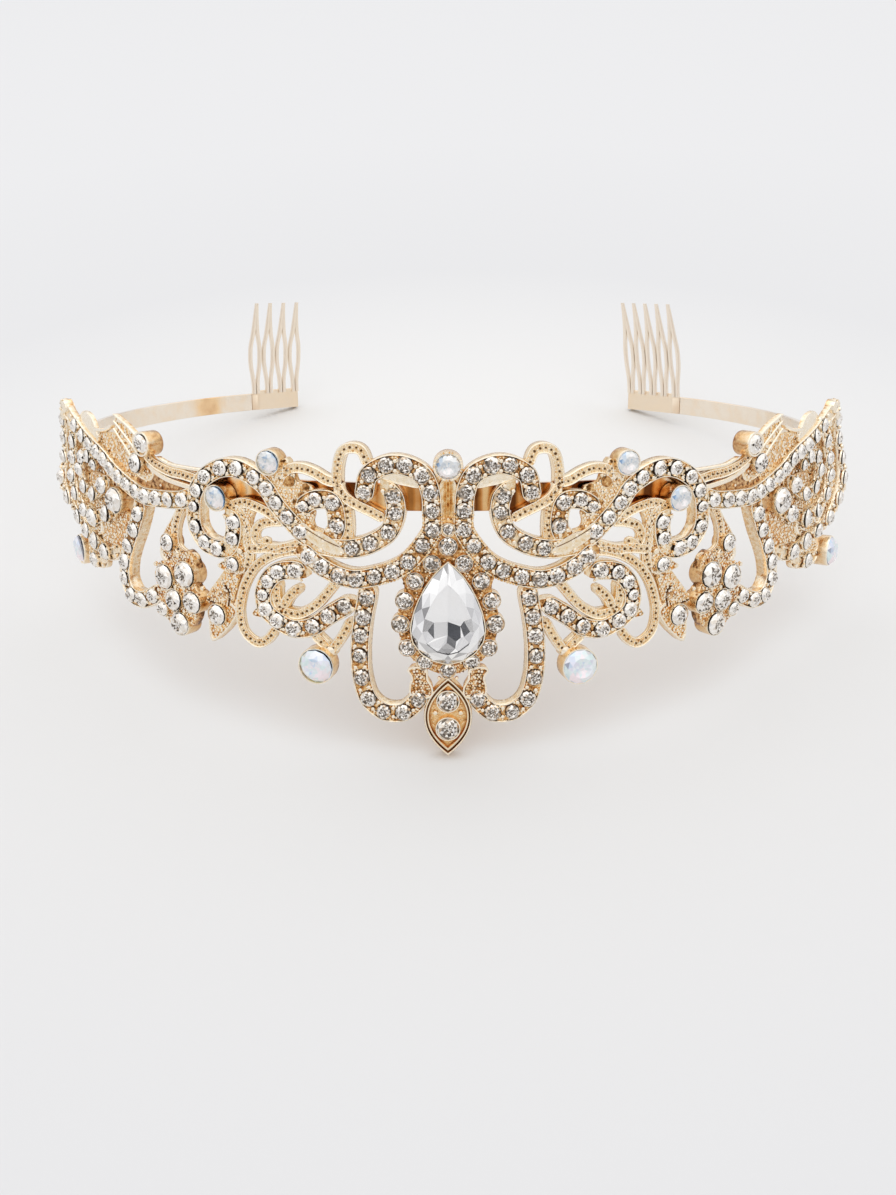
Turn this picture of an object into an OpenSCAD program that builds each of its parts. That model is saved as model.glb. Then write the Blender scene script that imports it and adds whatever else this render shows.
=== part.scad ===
// A tiara with a cast, pierced front panel on a strip headband, set with clear and rainbow-coated stones.
// It lies upside down on the peak's tip and the band's two free ends, comb teeth up.
// Places on the panel are [across, up] in millimetres: across is the way round the curved face from
// the middle, up is the height above the band's upper edge. The panel is the same left and right.

/* [Headband] */
// Outer radius of the band where it lies behind the panel
band_front_r = 72.1; // [71.5:0.1:72.1]
// Outer radius of the band's two sides, which close in a little
band_side_r = 68.3; // [67:0.1:70]
// Angle from the middle at which the sides begin
band_front_angle = 30; // [20:1:40]
// Angle from the middle to the left free end
left_end_angle = 148.5; // [140:0.5:150]
// Angle from the middle to the right free end
right_end_angle = 141.5; // [134:0.5:150]
// Height of the strip
band_h = 3.9; // [3:0.1:5]
// Thickness of the strip
band_t = 1; // [0.8:0.1:1.4]

/* [Combs] */
// Number of teeth of the left comb
left_teeth = 4; // [3:1:6]
// Number of teeth of the right comb
right_teeth = 5; // [3:1:6]
// Distance from tooth to tooth
tooth_pitch = 3.5; // [3:0.1:4.5]
// Height of the teeth above the band
tooth_h = 21; // [15:0.5:25]
// Widest part of a tooth, round its eye
tooth_w = 3.2; // [2.4:0.1:3.4]
// Thickness of the comb's metal
comb_t = 0.8; // [0.6:0.1:1]
// Radius of the bow of the teeth towards the head
comb_bow_r = 75; // [50:1:120]

/* [Panel] */
// Radius of the face that the stones' tables reach
face_r = 75; // [74.8:0.1:76]
// Depth of the face's top below the stones' tables
face_drop = 0.95; // [0.8:0.05:1.1]
// Width of a ribbon that carries stones
ribbon_w = 2.9; // [2.4:0.1:3.2]
// Width of a milgrain strip
strip_w = 1.6; // [1.2:0.1:1.9]
// Gap between each piece and the next
clearance = 0.1; // [0.05:0.01:0.15]

/* [Stones] */
// Length of the pear stone
pear_l = 14.6; // [13:0.1:15]
// Width of the pear stone
pear_w = 10.2; // [9:0.1:11]
// Share of a stone's width that its table takes
table_share = 0.58; // [0.5:0.01:0.7]
// Least width of a small stone that is a body of its own; finer ones are only surface detail
least_stone = 2; // [2:0.1:2.4]
// The same for the crowded ends of the wings
least_wing_stone = 2.5; // [2.5:0.1:3]

/* [Hidden] */

gold = "#e3b98a";
clear = "#e8ecf0";
rainbow = "#dfe6f5";

spine_rise = 0.7;
tooth_set = 0.5;
panel_back_r = band_front_r + clearance / 2;
bed_r = face_r - face_drop;
stone_h = face_drop - clearance;
strip_r = bed_r - 0.35;
cup_r = bed_r + 0.3;
sectors = 13;
sector = 10.08;
sector_lap = 0.08;
band_lap = 0.1;
side_start = band_front_angle - 1;
round_sides = 10;
rim = 0.4;

// Ribbons: [across, up, stone diameter], in order along each ribbon; 0 is a bend without a stone
arch = [[12.3, -2.3, 0], [12.0, -0.9, 2.1], [11.3, 1.6, 2.2], [8.8, 3.0, 2.2], [6.2, 3.0, 2.4],
    [3.6, 1.7, 2.4], [2.5, -0.8, 2.4], [2.3, -3.4, 2.3], [2.3, -6.1, 2.3], [3.7, -8.5, 2.2],
    [5.8, -10.9, 2.3], [8.1, -12.3, 2.3], [10.8, -13.2, 2.2], [13.5, -13.7, 2.4], [16.1, -13.3, 2.4],
    [18.8, -12.1, 2.4], [20.7, -10.7, 2.4], [22.3, -9.3, 0]];
wave = [[9.6, 0.9, 0], [7.8, -1.4, 2.4], [7.5, -3.8, 2.1], [8.6, -6.6, 2.3], [11.3, -8.4, 2.3],
    [14.1, -9.2, 2.3], [17.2, -9.2, 0], [19.8, -8.6, 0], [21.9, -7.1, 2.3], [24.0, -5.1, 2.2],
    [25.8, -3.1, 2.2], [27.2, -1.1, 2.3], [29.3, 0.4, 2.2], [32.2, 1.5, 2.3], [35.1, 1.3, 2.3],
    [38.0, -0.2, 2.2], [39.9, -2.4, 2.1], [40.6, -4.9, 1.7], [40.5, -8.0, 2.2], [38.8, -10.2, 2.3],
    [36.5, -10.9, 2.3], [34.5, -10.6, 0], [33.5, -9.1, 2.2], [33.2, -6.6, 2.2], [34.4, -4.6, 0]];
ring = [[22.2, -4.4, 0], [21.4, -3.4, 1.7], [19.5, -2.3, 2.2], [16.9, -2.6, 2.4], [16.3, -6.0, 2.4],
    [17.6, -7.9, 0], [19.7, -8.4, 0]];
halo = [[2.6, -12.2, 0], [4.8, -13.7, 2.1], [6.4, -16.7, 2.4], [7.0, -20.2, 2.4], [6.0, -23.8, 2.2],
    [3.5, -26.0, 1.9], [0, -27.3, 0]];
loop = [[11.8, -14.4, 0], [12.0, -16.5, 2.4], [12.6, -19.4, 2.4], [13.0, -22.3, 2.4], [13.2, -25.4, 2.3],
    [13.0, -28.7, 2.4], [12.0, -31.8, 2.4], [9.7, -33.6, 2.1], [6.7, -33.5, 2.4], [4.5, -31.5, 2.3],
    [4.2, -29.2, 0], [4.9, -27.3, 0]];
scroll = [[13.4, -17.0, 0], [15.4, -18.0, 2.3], [18.0, -19.6, 2.4], [20.5, -21.4, 2.4], [23.6, -22.0, 2.4],
    [26.3, -21.0, 2.3], [28.2, -19.4, 2.3], [28.6, -17.2, 1.7], [27.7, -15.1, 2.1], [25.9, -13.5, 2.2],
    [23.0, -13.0, 2.4], [21.2, -13.9, 0]];
wing_row = [[40.6, -3.2, 0], [42.9, -4.1, 2.1], [45.9, -4.4, 2.2], [48.7, -4.5, 2.2], [51.4, -4.5, 2.2],
    [53.7, -4.0, 2.1], [56.0, -3.2, 2.1], [58.3, -2.3, 2.2], [60.5, -1.3, 2.2], [62.7, 0, 2.2],
    [65.0, 1.0, 2.2], [67.6, 1.9, 2.1], [70.4, 3.0, 2.1], [73.3, 4.4, 2.1], [76.4, 6.0, 0], [79.6, 7.4, 0]];
wing_loop = [[52.6, -5.0, 0], [53.7, -7.6, 2.3], [55.2, -10.4, 2.3], [57.1, -13.3, 2.3], [58.5, -16.1, 2.4],
    [58.9, -18.9, 2.3], [57.2, -21.4, 2.3], [54.2, -21.7, 2.3], [51.1, -20.5, 2.2], [49.2, -19.2, 0]];
wing_curl = [[61.8, -3.2, 0], [64.2, -4.4, 2.6], [68.0, -6.3, 2.3], [71.4, -5.6, 2.2], [72.9, -3.0, 2.2],
    [71.6, -0.6, 2.2], [68.8, -0.2, 2.1], [66.6, -1.4, 1.7]];
wing_spray = [[60.2, -8.0, 0], [63.8, -9.0, 2.7], [66.4, -9.8, 0], [69.2, -10.6, 3.0], [73.0, -9.8, 2.3],
    [75.8, -7.4, 2.3], [76.8, -4.4, 2.3], [76.5, -1.4, 2.3], [75.6, 1.4, 2.3], [75.0, 4.2, 0]];
wing_edge = [[60.2, -14.2, 0], [62.6, -15.6, 0], [65.6, -15.8, 2.7], [69.8, -14.6, 2.8], [73.8, -13.6, 2.6],
    [77.6, -11.8, 2.6], [80.4, -8.8, 2.4], [81.6, -5.4, 2.3], [81.8, -2.0, 2.3], [81.4, 1.4, 2.3],
    [80.4, 4.6, 2.2], [79.4, 7.6, 0]];
wing_foot = [[65.4, -17.2, 0], [68.2, -18.0, 0], [71.0, -18.2, 2.5], [74.6, -17.9, 0]];

// Milgrain strips: [across, up]
strips = [
    // top loop, the strip that crosses below it, and the strip beside the small ring
    [[16.2, -0.4], [16.1, 2.3], [15.4, 4.6], [13.9, 5.3], [12.4, 4.8], [11.6, 2.8]],
    [[16.3, 0.2], [15.0, -1.8], [13.2, -2.9], [11.2, -3.8], [9.2, -4.8]],
    [[16.4, -0.2], [15.2, -2.0], [14.7, -4.6], [14.7, -7.4], [15.4, -8.8]],
    // arc on the top edge, and the short one under it
    [[16.2, 0.2], [17.9, 0.6], [19.6, 1.5], [21.6, 2.1], [23.5, 1.9], [24.8, 0.9], [25.6, -0.8]],
    [[26.0, -2.0], [23.7, -1.1], [22.1, -0.5], [20.6, -1.0]],
    [[24.3, 3.4], [24.3, 1.4]],
    // strips between the wave and the long loop
    [[34.2, -4.3], [31.8, -3.6], [29.5, -3.9], [27.2, -4.8], [25.2, -6.0]],
    [[24.6, -5.9], [27.0, -6.1], [28.9, -6.8], [29.7, -8.2], [29.2, -9.8]],
    [[31.2, -10.6], [28.2, -10.1], [26.0, -10.1], [24.0, -9.6], [22.0, -8.9]],
    [[29.4, -9.9], [27.2, -8.8]],
    [[33.6, -4.4], [32.0, -5.2], [31.1, -7.2], [31.0, -9.4], [30.7, -11.4], [31.4, -13.4]],
    // long loop, and the narrow loop inside the scroll
    [[21.3, -10.1], [24.0, -10.2], [27.0, -11.2], [29.7, -13.0], [31.6, -15.6], [32.7, -18.5],
        [33.0, -21.0], [32.3, -23.6], [30.1, -25.0], [28.1, -24.1], [26.8, -22.4]],
    [[16.6, -14.3], [18.0, -16.0], [19.6, -17.8], [21.2, -19.0], [23.0, -19.8], [25.4, -19.6]],
    [[25.2, -19.0], [24.7, -17.7], [23.6, -16.5], [22.4, -15.6]],
    [[26.3, -15.0], [26.5, -17.3], [25.8, -19.4]],
    // the two arms that hold the drop stone
    [[20.6, -22.6], [19.2, -23.8], [18.0, -24.8]],
    [[14.5, -20.0], [15.8, -22.4], [17.6, -25.0]],
    // stem from the curl to the wing
    [[39.4, -0.7], [42.5, -0.3], [46.0, -0.1], [49.5, 0.8], [52.4, 2.6], [55.4, 4.4], [58.6, 5.9]],
    [[41.2, -1.9], [44.4, -1.6], [47.4, -1.2], [49.6, -0.4], [51.4, 1.0]],
    // edge of the leaf web beside the flower
    [[37.6, -18.9], [35.6, -16.6], [33.6, -15.0], [31.2, -14.2]],
    [[34.0, -16.6], [34.4, -18.4], [35.6, -20.2]],
];

// Flat plates: outlines of [across, up]
plates = [
    // web between the two sides of the arch, and the feather
    [[0, 1.4], [1.4, 0.6], [1.5, -9.5], [3.6, -11.8], [2.6, -12.6], [0, -11.4],
        [-2.6, -12.6], [-3.6, -11.8], [-1.5, -9.5], [-1.4, 0.6]],
    [[41.3, -5.0], [42.8, -4.9], [45.6, -7.4], [48.2, -10.2], [49.2, -13.6], [47.0, -15.2], [42.4, -14.0],
        [42.0, -10.0]],
    // leaf with its stone below the web
    [[34.2, -19.4], [36.2, -18.6], [38.8, -20.4], [39.2, -23.4], [38.8, -26.0], [36.6, -24.6],
        [34.8, -22.8], [33.4, -20.6]],
    // small leaf on the web, and the leaf tip of the scroll
    [[31.2, -12.0], [32.8, -11.2], [34.3, -12.2], [36.3, -13.7], [33.6, -14.2], [31.2, -14.0]],
    [[28.6, -18.4], [30.9, -20.6], [28.4, -20.7]],
    // leaf of the wing inside its loop
    [[57.2, -9.0], [60.2, -7.8], [62.4, -9.0], [64.6, -10.6], [64.4, -13.8], [61.6, -14.8], [58.6, -13.2]],
    [[68.2, -9.6], [74.0, -8.6], [76.6, -10.4], [73.4, -13.2], [69.4, -13.8], [66.6, -12.4]],
    [[67.4, -15.0], [73.0, -14.2], [75.8, -16.8], [72.0, -18.0], [67.8, -17.6]],
    [[73.6, 3.4], [75.6, 0.2], [80.6, 0.4], [81.0, 5.0], [78.4, 8.2], [75.8, 6.6]],
];

// Stones in cups of their own: [across, up, stone diameter]
top_cup = [0, 3.0, 3.6];
side_cup = [26.5, 2.8, 3.4];
curl_cup = [35.8, -3.1, 3.6];
drop_cup = [19.9, -27.3, 5.2];
wing_cup = [77.6, -17.6, 4.8];
bezel_cup = [50.5, 3.7, 3.2];
marquise_upper = [0, -31.8, 3.1];
marquise_lower = [0, -36.1, 3.5];
flower = [[47.1, -16.6, 3.9], [42.6, -15.6, 4.0], [45.3, -20.0, 3.4], [41.4, -19.9, 3.4],
    [44.2, -23.7, 3.6], [48.0, -21.9, 2.2]];
leaf_cups = [[32.8, -12.7, 2.2], [37.0, -21.3, 3.2], [46.6, -11.2, 2.4], [53.1, 0.5, 3.0]];
center_cups = [[0, -6.1, 1.7], [0, -8.5, 2.2], [2.3, -11.0, 2.2]];
wing_big = [59.0, -6.1, 4.0];
pear_place = [0, -18.5];
marquise_place = [0, -34.5];
drop_knob = [17.9, -25.1];
marquise_l = 12.6;
marquise_w = 6.8;

flat_center = [band_center(1)[0], band_center(1)[1]];

// Rest: the plane through the peak's tip and the two free ends becomes the table
tip = [0, -panel_back_r, marquise_place[1] - marquise_l / 2];
left_end = band_point(left_end_angle, band_side_r, -1);
right_end = band_point(right_end_angle, band_side_r, 1);
table_normal = cross(right_end - tip, left_end - tip);
up = table_normal / norm(table_normal);
tilt = atan2(up[1], up[2]);
roll = asin(up[0]);
lift = -up * tip;

// Centre of a side's arc, and a point of the band's lower outer edge
function band_center(side) = (band_front_r - band_lap - band_side_r)
    * [side * sin(band_front_angle), -cos(band_front_angle)];
function band_point(a, r, side) = [
    band_center(side)[0] + side * r * sin(a), band_center(side)[1] - r * cos(a), -band_h];
// Turning angle of a place on the panel, and its point at radius r
function turn(u) = u / face_r * 180 / PI;
function spot(u, z, r) = [r * sin(turn(u)), -r * cos(turn(u)), z];
// Smooth curve through the points of a table, n steps from one to the next
function between(a, b, c, d, t) =
    0.5 * (2 * b + (c - a) * t + (2 * a - 5 * b + 4 * c - d) * t * t + (3 * b - a - 3 * c + d) * t * t * t);
function smooth(p, n) = concat([for (i = [0:len(p) - 2], k = [0:n - 1])
    between(p[max(i - 1, 0)], p[i], p[i + 1], p[min(i + 2, len(p) - 1)], k / n)], [p[len(p) - 1]]);
function mirrored(row) = [-row[0], row[1], row[2]];
function flat(rows) = [for (row = rows) [row[0], row[1]]];
function across(p, i) = let (d = p[min(i + 1, len(p) - 1)] - p[max(i - 1, 0)]) [-d[1], d[0]] / norm(d);
// Outline of a pear with its point up, and of a pointed oval
function pear_outline(l, w, n) = [for (i = [0:n - 1]) let (a = 360 * i / n)
    [w / 2 * sin(a) * (1 - 0.32 * cos(a)) , l * (0.5 * cos(a) + 0.09 * cos(a) * cos(a) - 0.045)]];
function oval_outline(l, w, n) = [for (i = [0:n - 1]) let (a = 360 * i / n, s = sin(a))
    [w / 2 * s * (0.72 + 0.28 * s * s), l / 2 * cos(a)]];

module lying() {
    translate([0, 0, lift]) rotate([tilt, -roll, 0]) children();
}

module half(side) {
    mirror([side < 0 ? 1 : 0, 0, 0]) children();
}

module both() {
    half(1) children();
    half(-1) children();
}

// A closed body on equal rings of points, its first and last ring filled in
module rings_body(rings) {
    n = len(rings[0]);
    sides = [for (i = [0:len(rings) - 2], k = [0:n - 1])
        [i * n + k, i * n + (k + 1) % n, (i + 1) * n + (k + 1) % n, (i + 1) * n + k]];
    first = [for (k = [n - 1:-1:0]) k];
    last = [for (k = [0:n - 1]) (len(rings) - 1) * n + k];
    polyhedron([for (ring = rings) each ring], concat([first], sides, [last]), convexity = 8);
}

// Flat outline of a ribbon of width w along the smoothed points of a table
module ribbon(table, w, steps) {
    p = smooth(flat(table), steps);
    last = len(p) - 1;
    polygon(concat([for (i = [0:last]) p[i] + across(p, i) * w / 2],
        [for (i = [last:-1:0]) p[i] - across(p, i) * w / 2]));
}

// The flat pattern, bent round the band in flat sectors whose outer edges reach edge_r
module bent(edge_r) {
    top = edge_r * cos(sector / 2);
    middle = (panel_back_r + top) / 2;
    half_w = middle * sector / 2 * PI / 180 + sector_lap;
    for (i = [0:sectors - 1])
        let (a = (i - (sectors - 1) / 2) * sector)
        rotate([0, 0, a]) translate([0, -panel_back_r, 0]) rotate([90, 0, 0])
            linear_extrude(top - panel_back_r) intersection() {
                scale([middle / face_r, 1]) translate([-face_r * a * PI / 180, 0]) children();
                translate([-half_w, -50]) square([2 * half_w, 70]);
            }
}

module at_place(place, r) {
    rotate([0, 0, turn(place[0])]) translate([0, -r, place[1]]) rotate([90, 0, 0]) children();
}

// A flat-backed stone with an eight-sided table and eight facets round it
module stone(d, h) {
    rings_body([for (ring = [[1, 0], [table_share, 1]])
        [for (k = [7:-1:0]) [ring[0] * d / 2 * cos(45 * k), ring[0] * d / 2 * sin(45 * k), ring[1] * h]]]);
}

module stones(table, least) {
    for (row = table)
        if (row[2] >= least)
            at_place(row, bed_r + clearance) stone(row[2], stone_h);
}

module cup_stone(place, seat_r) {
    color(clear) lying() at_place(place, seat_r + clearance) stone(place[2], stone_h + 0.15);
}

module rainbow_stone(place) {
    color(rainbow) lying() at_place(place, cup_r + clearance) stone(place[2], stone_h + 0.15);
}

module stone_field(table, side, least = least_stone) {
    color(clear) lying() half(side) stones(table, least);
}

module headband() {
    color(gold) lying() translate([0, 0, -band_h]) linear_extrude(band_h) {
        strip_arc(band_front_r, -band_front_angle, band_front_angle);
        half(-1) translate(flat_center) strip_arc(band_side_r, side_start, left_end_angle);
        half(1) translate(flat_center) strip_arc(band_side_r, side_start, right_end_angle);
    }
}

// Plan of a stretch of the strip, between two angles counted from the front
module strip_arc(r, from, to) {
    intersection() {
        difference() {
            circle(r = r, $fn = 180);
            circle(r = r - band_t, $fn = 180);
        }
        polygon(concat([[0, 0]], [for (k = [0:4]) let (a = from + (to - from) * k / 4) 2 * r * [sin(a), -cos(a)]]));
    }
}

// A comb: its spine lies inside the band's free end, its teeth rise above the band and bow inwards
module comb(teeth, side, end_angle) {
    w = (teeth - 1) * tooth_pitch + 1.6;
    inner = band_side_r - band_t - clearance / 2;
    half_turn = w / 2 / inner * 180 / PI;
    color(gold) lying() half(side) translate(band_center(1)) rotate([0, 0, end_angle - half_turn])
        translate([0, -inner, 0]) comb_shape(teeth, w, inner);
}

module comb_shape(teeth, w, inner) {
    intersection() {
        plate_towards_head(inner) translate([-w / 2, -band_h]) square([w, band_h + spine_rise]);
        translate([0, inner, -band_h - 1]) difference() {
            cylinder(r = inner, h = band_h + 2, $fn = 180);
            translate([0, 0, -1]) cylinder(r = inner - comb_t, h = band_h + 4, $fn = 180);
        }
    }
    intersection() {
        plate_towards_head(inner) for (k = [0:teeth - 1])
            translate([(k - (teeth - 1) / 2) * tooth_pitch, clearance / 2]) tooth_outline();
        translate([-w, comb_bow_r + tooth_set, spine_rise]) rotate([0, 90, 0]) bow(2 * w);
    }
}

// A flat outline stood up at the band's inner face and carried inwards
module plate_towards_head(depth) {
    rotate([90, 0, 0]) translate([0, 0, -depth]) linear_extrude(depth) children();
}

module bow(l) {
    difference() {
        cylinder(r = comb_bow_r, h = l, $fn = 180);
        translate([0, 0, -1]) cylinder(r = comb_bow_r - comb_t, h = l + 2, $fn = 180);
    }
}

module tooth_outline() {
    difference() {
        polygon([[-0.55, 0], [0.55, 0], [0.55, 0.18 * tooth_h], [tooth_w / 2, 0.38 * tooth_h],
            [tooth_w / 2 - 0.2, 0.52 * tooth_h], [0.75, 0.68 * tooth_h], [0.35, tooth_h], [-0.35, tooth_h],
            [-0.75, 0.68 * tooth_h], [-tooth_w / 2 + 0.2, 0.52 * tooth_h], [-tooth_w / 2, 0.38 * tooth_h],
            [-0.55, 0.18 * tooth_h]]);
        polygon([[0, 0.2 * tooth_h], [tooth_w / 2 - 0.65, 0.38 * tooth_h], [tooth_w / 2 - 0.75, 0.5 * tooth_h],
            [0, 0.63 * tooth_h], [0.75 - tooth_w / 2, 0.5 * tooth_h], [0.65 - tooth_w / 2, 0.38 * tooth_h]]);
    }
}

module stone_ribbons() {
    for (table = [arch, wave]) ribbon(table, ribbon_w, 2);
    for (table = [ring, loop, scroll, halo, wing_row, wing_loop, wing_curl, wing_spray, wing_edge, wing_foot])
        ribbon(table, ribbon_w, 1);
    for (place = concat(flower, leaf_cups, [wing_big]))
        translate([place[0], place[1]]) circle(d = place[2] + 2 * rim, $fn = round_sides);
    translate(marquise_place) polygon(oval_outline(marquise_l, marquise_w, 16));
    translate(pear_place) polygon(pear_outline(pear_l + 2 * rim, pear_w + 2 * rim, 16));
}

module milgrain_strips() {
    for (table = strips) ribbon(table, strip_w, 1);
    for (outline = plates) polygon(outline);
    translate(drop_knob) circle(d = 2, $fn = round_sides);
}

// A tall cup, a little wider at its lip than at its foot
module cup(place) {
    at_place(place, panel_back_r) hull() {
        cylinder(d = place[2] + 0.5, h = 0.5, $fn = round_sides);
        translate([0, 0, cup_r - panel_back_r - 0.5]) cylinder(d = place[2] + 0.8, h = 0.5, $fn = round_sides);
    }
}

module filigree() {
    color(gold) lying() {
        bent(bed_r) both() stone_ribbons();
        bent(strip_r) both() milgrain_strips();
        cup(top_cup);
        both() for (place = [side_cup, curl_cup, drop_cup, wing_cup, bezel_cup]) cup(place);
    }
}

module pear_stone() {
    color(clear) lying() at_place(pear_place, bed_r + clearance) rings_body(
        [for (ring = [[0.94, 0], [1, 0.6], [table_share, 2]])
            [for (p = pear_outline(pear_l * ring[0], pear_w * ring[0], 16)) [p[0], p[1], ring[1]]]]);
}

// The small stones of the wing's end, in one field
wing_end = concat(wing_curl, wing_spray, wing_edge, wing_foot, [wing_big]);
mirrored_centers = concat(center_cups, [[-2.3, -11.0, 2.2]]);
halo_field = concat(halo, [for (row = halo) [-row[0], row[1], row[2]]], [[0, -27.3, 1.9]]);

headband();
comb(left_teeth, -1, left_end_angle);  // comb_left
comb(right_teeth, 1, right_end_angle);  // comb_right
filigree();
pear_stone();
rainbow_stone(top_cup);  // ab_top_stone
rainbow_stone(mirrored(side_cup));  // ab_side_stone_left
rainbow_stone(side_cup);  // ab_side_stone_right
rainbow_stone(mirrored(curl_cup));  // ab_curl_stone_left
rainbow_stone(curl_cup);  // ab_curl_stone_right
rainbow_stone(mirrored(drop_cup));  // ab_drop_stone_left
rainbow_stone(drop_cup);  // ab_drop_stone_right
rainbow_stone(mirrored(wing_cup));  // ab_wing_stone_left
rainbow_stone(wing_cup);  // ab_wing_stone_right
cup_stone(marquise_upper, bed_r);  // marquise_upper_stone
cup_stone(marquise_lower, bed_r);  // marquise_lower_stone
cup_stone(mirrored(bezel_cup), cup_r);  // bezel_stone_left
cup_stone(bezel_cup, cup_r);  // bezel_stone_right
stone_field(mirrored_centers, 1);  // center_stones
stone_field(halo_field, 1);  // halo_stones
stone_field(arch, -1);  // arch_stones_left
stone_field(arch, 1);  // arch_stones_right
stone_field(concat(wave, ring), -1);  // wave_stones_left
stone_field(concat(wave, ring), 1);  // wave_stones_right
stone_field(loop, -1);  // loop_stones_left
stone_field(loop, 1);  // loop_stones_right
stone_field(scroll, -1);  // scroll_stones_left
stone_field(scroll, 1);  // scroll_stones_right
stone_field(leaf_cups, -1);  // leaf_stones_left
stone_field(leaf_cups, 1);  // leaf_stones_right
stone_field(flower, -1);  // flower_stones_left
stone_field(flower, 1);  // flower_stones_right
stone_field(wing_row, -1);  // wing_row_stones_left
stone_field(wing_row, 1);  // wing_row_stones_right
stone_field(wing_loop, -1);  // wing_loop_stones_left
stone_field(wing_loop, 1);  // wing_loop_stones_right
stone_field(wing_end, -1, least_wing_stone);  // wing_end_stones_left
stone_field(wing_end, 1, least_wing_stone);  // wing_end_stones_right
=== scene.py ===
# A rhinestone tiara that lies upside down on the tip of its peak and the two ends of its band.
# Lengths are millimetres until restPoints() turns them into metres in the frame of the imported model.
# A place on the pierced panel is [across, up, stone width]: across goes round the curved face from the
# middle, up is the height above the band's upper edge, and out is the distance from the head's axis.
import bpy
import numpy as np
from mathutils import Matrix


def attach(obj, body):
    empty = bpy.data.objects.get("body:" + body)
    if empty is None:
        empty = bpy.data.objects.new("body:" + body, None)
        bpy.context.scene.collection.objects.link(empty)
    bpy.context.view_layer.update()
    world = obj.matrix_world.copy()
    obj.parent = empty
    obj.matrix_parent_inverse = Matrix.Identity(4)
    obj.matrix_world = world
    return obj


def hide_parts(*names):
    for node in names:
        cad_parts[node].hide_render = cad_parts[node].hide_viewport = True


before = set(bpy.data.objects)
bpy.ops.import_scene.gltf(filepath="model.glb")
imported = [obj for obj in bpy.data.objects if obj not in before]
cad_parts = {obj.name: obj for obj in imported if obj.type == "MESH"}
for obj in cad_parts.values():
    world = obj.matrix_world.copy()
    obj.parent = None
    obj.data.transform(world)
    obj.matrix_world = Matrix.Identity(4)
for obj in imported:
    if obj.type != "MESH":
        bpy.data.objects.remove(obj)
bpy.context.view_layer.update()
print("frame loaded:", len(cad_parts), "nodes")

# The band in plan: a front arc, two side arcs, and the angles of its ends from the front
band = {"frontRadius": 72.1, "sideRadius": 68.3, "frontAngle": 30, "leftEnd": 148.5, "rightEnd": 141.5,
        "height": 3.9, "thickness": 1.0, "lap": 0.1}
# Distances of the panel's layers from the axis, the ribbons' rim, and the step of what is carried
panel = {"face": 75.0, "back": 72.15, "wingBack": 73.2, "bed": 74.08, "crest": 74.3, "girdle": 74.44,
         "rim": 0.24, "step": 0.36}
# The pointed oval of the peak, on whose tip the tiara rests
marquise = {"place": [0, -34.5], "length": 12.6, "width": 7.3}
rng = np.random.default_rng(7)


# The band's sides are arcs about a centre that is shifted along the line at 30 degrees
def bandCentre(side):
    shift = band["frontRadius"] - band["lap"] - band["sideRadius"]
    a = np.radians(band["frontAngle"])
    return shift * np.array([side * np.sin(a), -np.cos(a)])


# A point of a side arc: centre + radius * (side * sin, -cos) of the angle from the front
def bandPoint(degrees, radius, side, height):
    a = np.radians(degrees)
    c = bandCentre(side)
    return np.array([c[0] + side * radius * np.sin(a), c[1] - radius * np.cos(a), height])


# Rest: the plane through the peak's tip and the band's two ends becomes the table, by a turn about X,
# then one about Y, and a rise
tip = np.array([0, -panel["back"], marquise["place"][1] - marquise["length"] / 2])
leftFoot = bandPoint(band["leftEnd"], band["sideRadius"], -1, -band["height"])
rightFoot = bandPoint(band["rightEnd"], band["sideRadius"], 1, -band["height"])
tableUp = np.cross(rightFoot - tip, leftFoot - tip)
tableUp = tableUp / np.linalg.norm(tableUp)
tilt = np.arctan2(tableUp[1], tableUp[2])
roll = np.arcsin(tableUp[0])
turnX = np.array([[1, 0, 0], [0, np.cos(tilt), -np.sin(tilt)], [0, np.sin(tilt), np.cos(tilt)]])
turnY = np.array([[np.cos(roll), 0, -np.sin(roll)], [0, 1, 0], [np.sin(roll), 0, np.cos(roll)]])
restTurn = turnY @ turnX
restLift = np.array([0, 0, -tableUp @ tip])


# Panel millimetres to metres on the table: the turn, then the rise
def restPoints(points):
    return (points @ restTurn.T + restLift) * 0.001


# The wings' ends stand a little off the circle: the share of the stretch from 54 to 80 across, squared,
# times a distance that on the left also grows with the height; the lower part of the very edge, where
# the share to the fourth power counts, stands off by up to 1.3 more
def flare(across, up):
    share = np.clip((np.abs(across) - 54) / 26, 0, 1.1)
    lower = np.where(across > 0, np.clip((2 - up) / 8, 0, 1), np.exp(-((up + 7) / 4.5)**2))
    return share**2 * np.where(across > 0, 1.3, 0.25 + 0.055 * up) + 1.3 * share**4 * lower


# Bends the flat pattern round the head: across / 75 is the angle, out the distance from the axis
def bend(points):
    a = points[..., 0] / panel["face"]
    out = points[..., 2] + flare(points[..., 0], points[..., 1])
    return np.stack([out * np.sin(a), -out * np.cos(a), points[..., 1]], -1)


# Plane points with a third number added to each
def raised(points, height):
    return np.hstack([points, np.broadcast_to(np.asarray(height, float), (len(points),))[:, None]])


# The distance along a line from its start to each of its points
def lengthAlong(line):
    return np.concatenate([[0], np.cumsum(np.linalg.norm(np.diff(line, axis=0), axis=1))])


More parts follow.
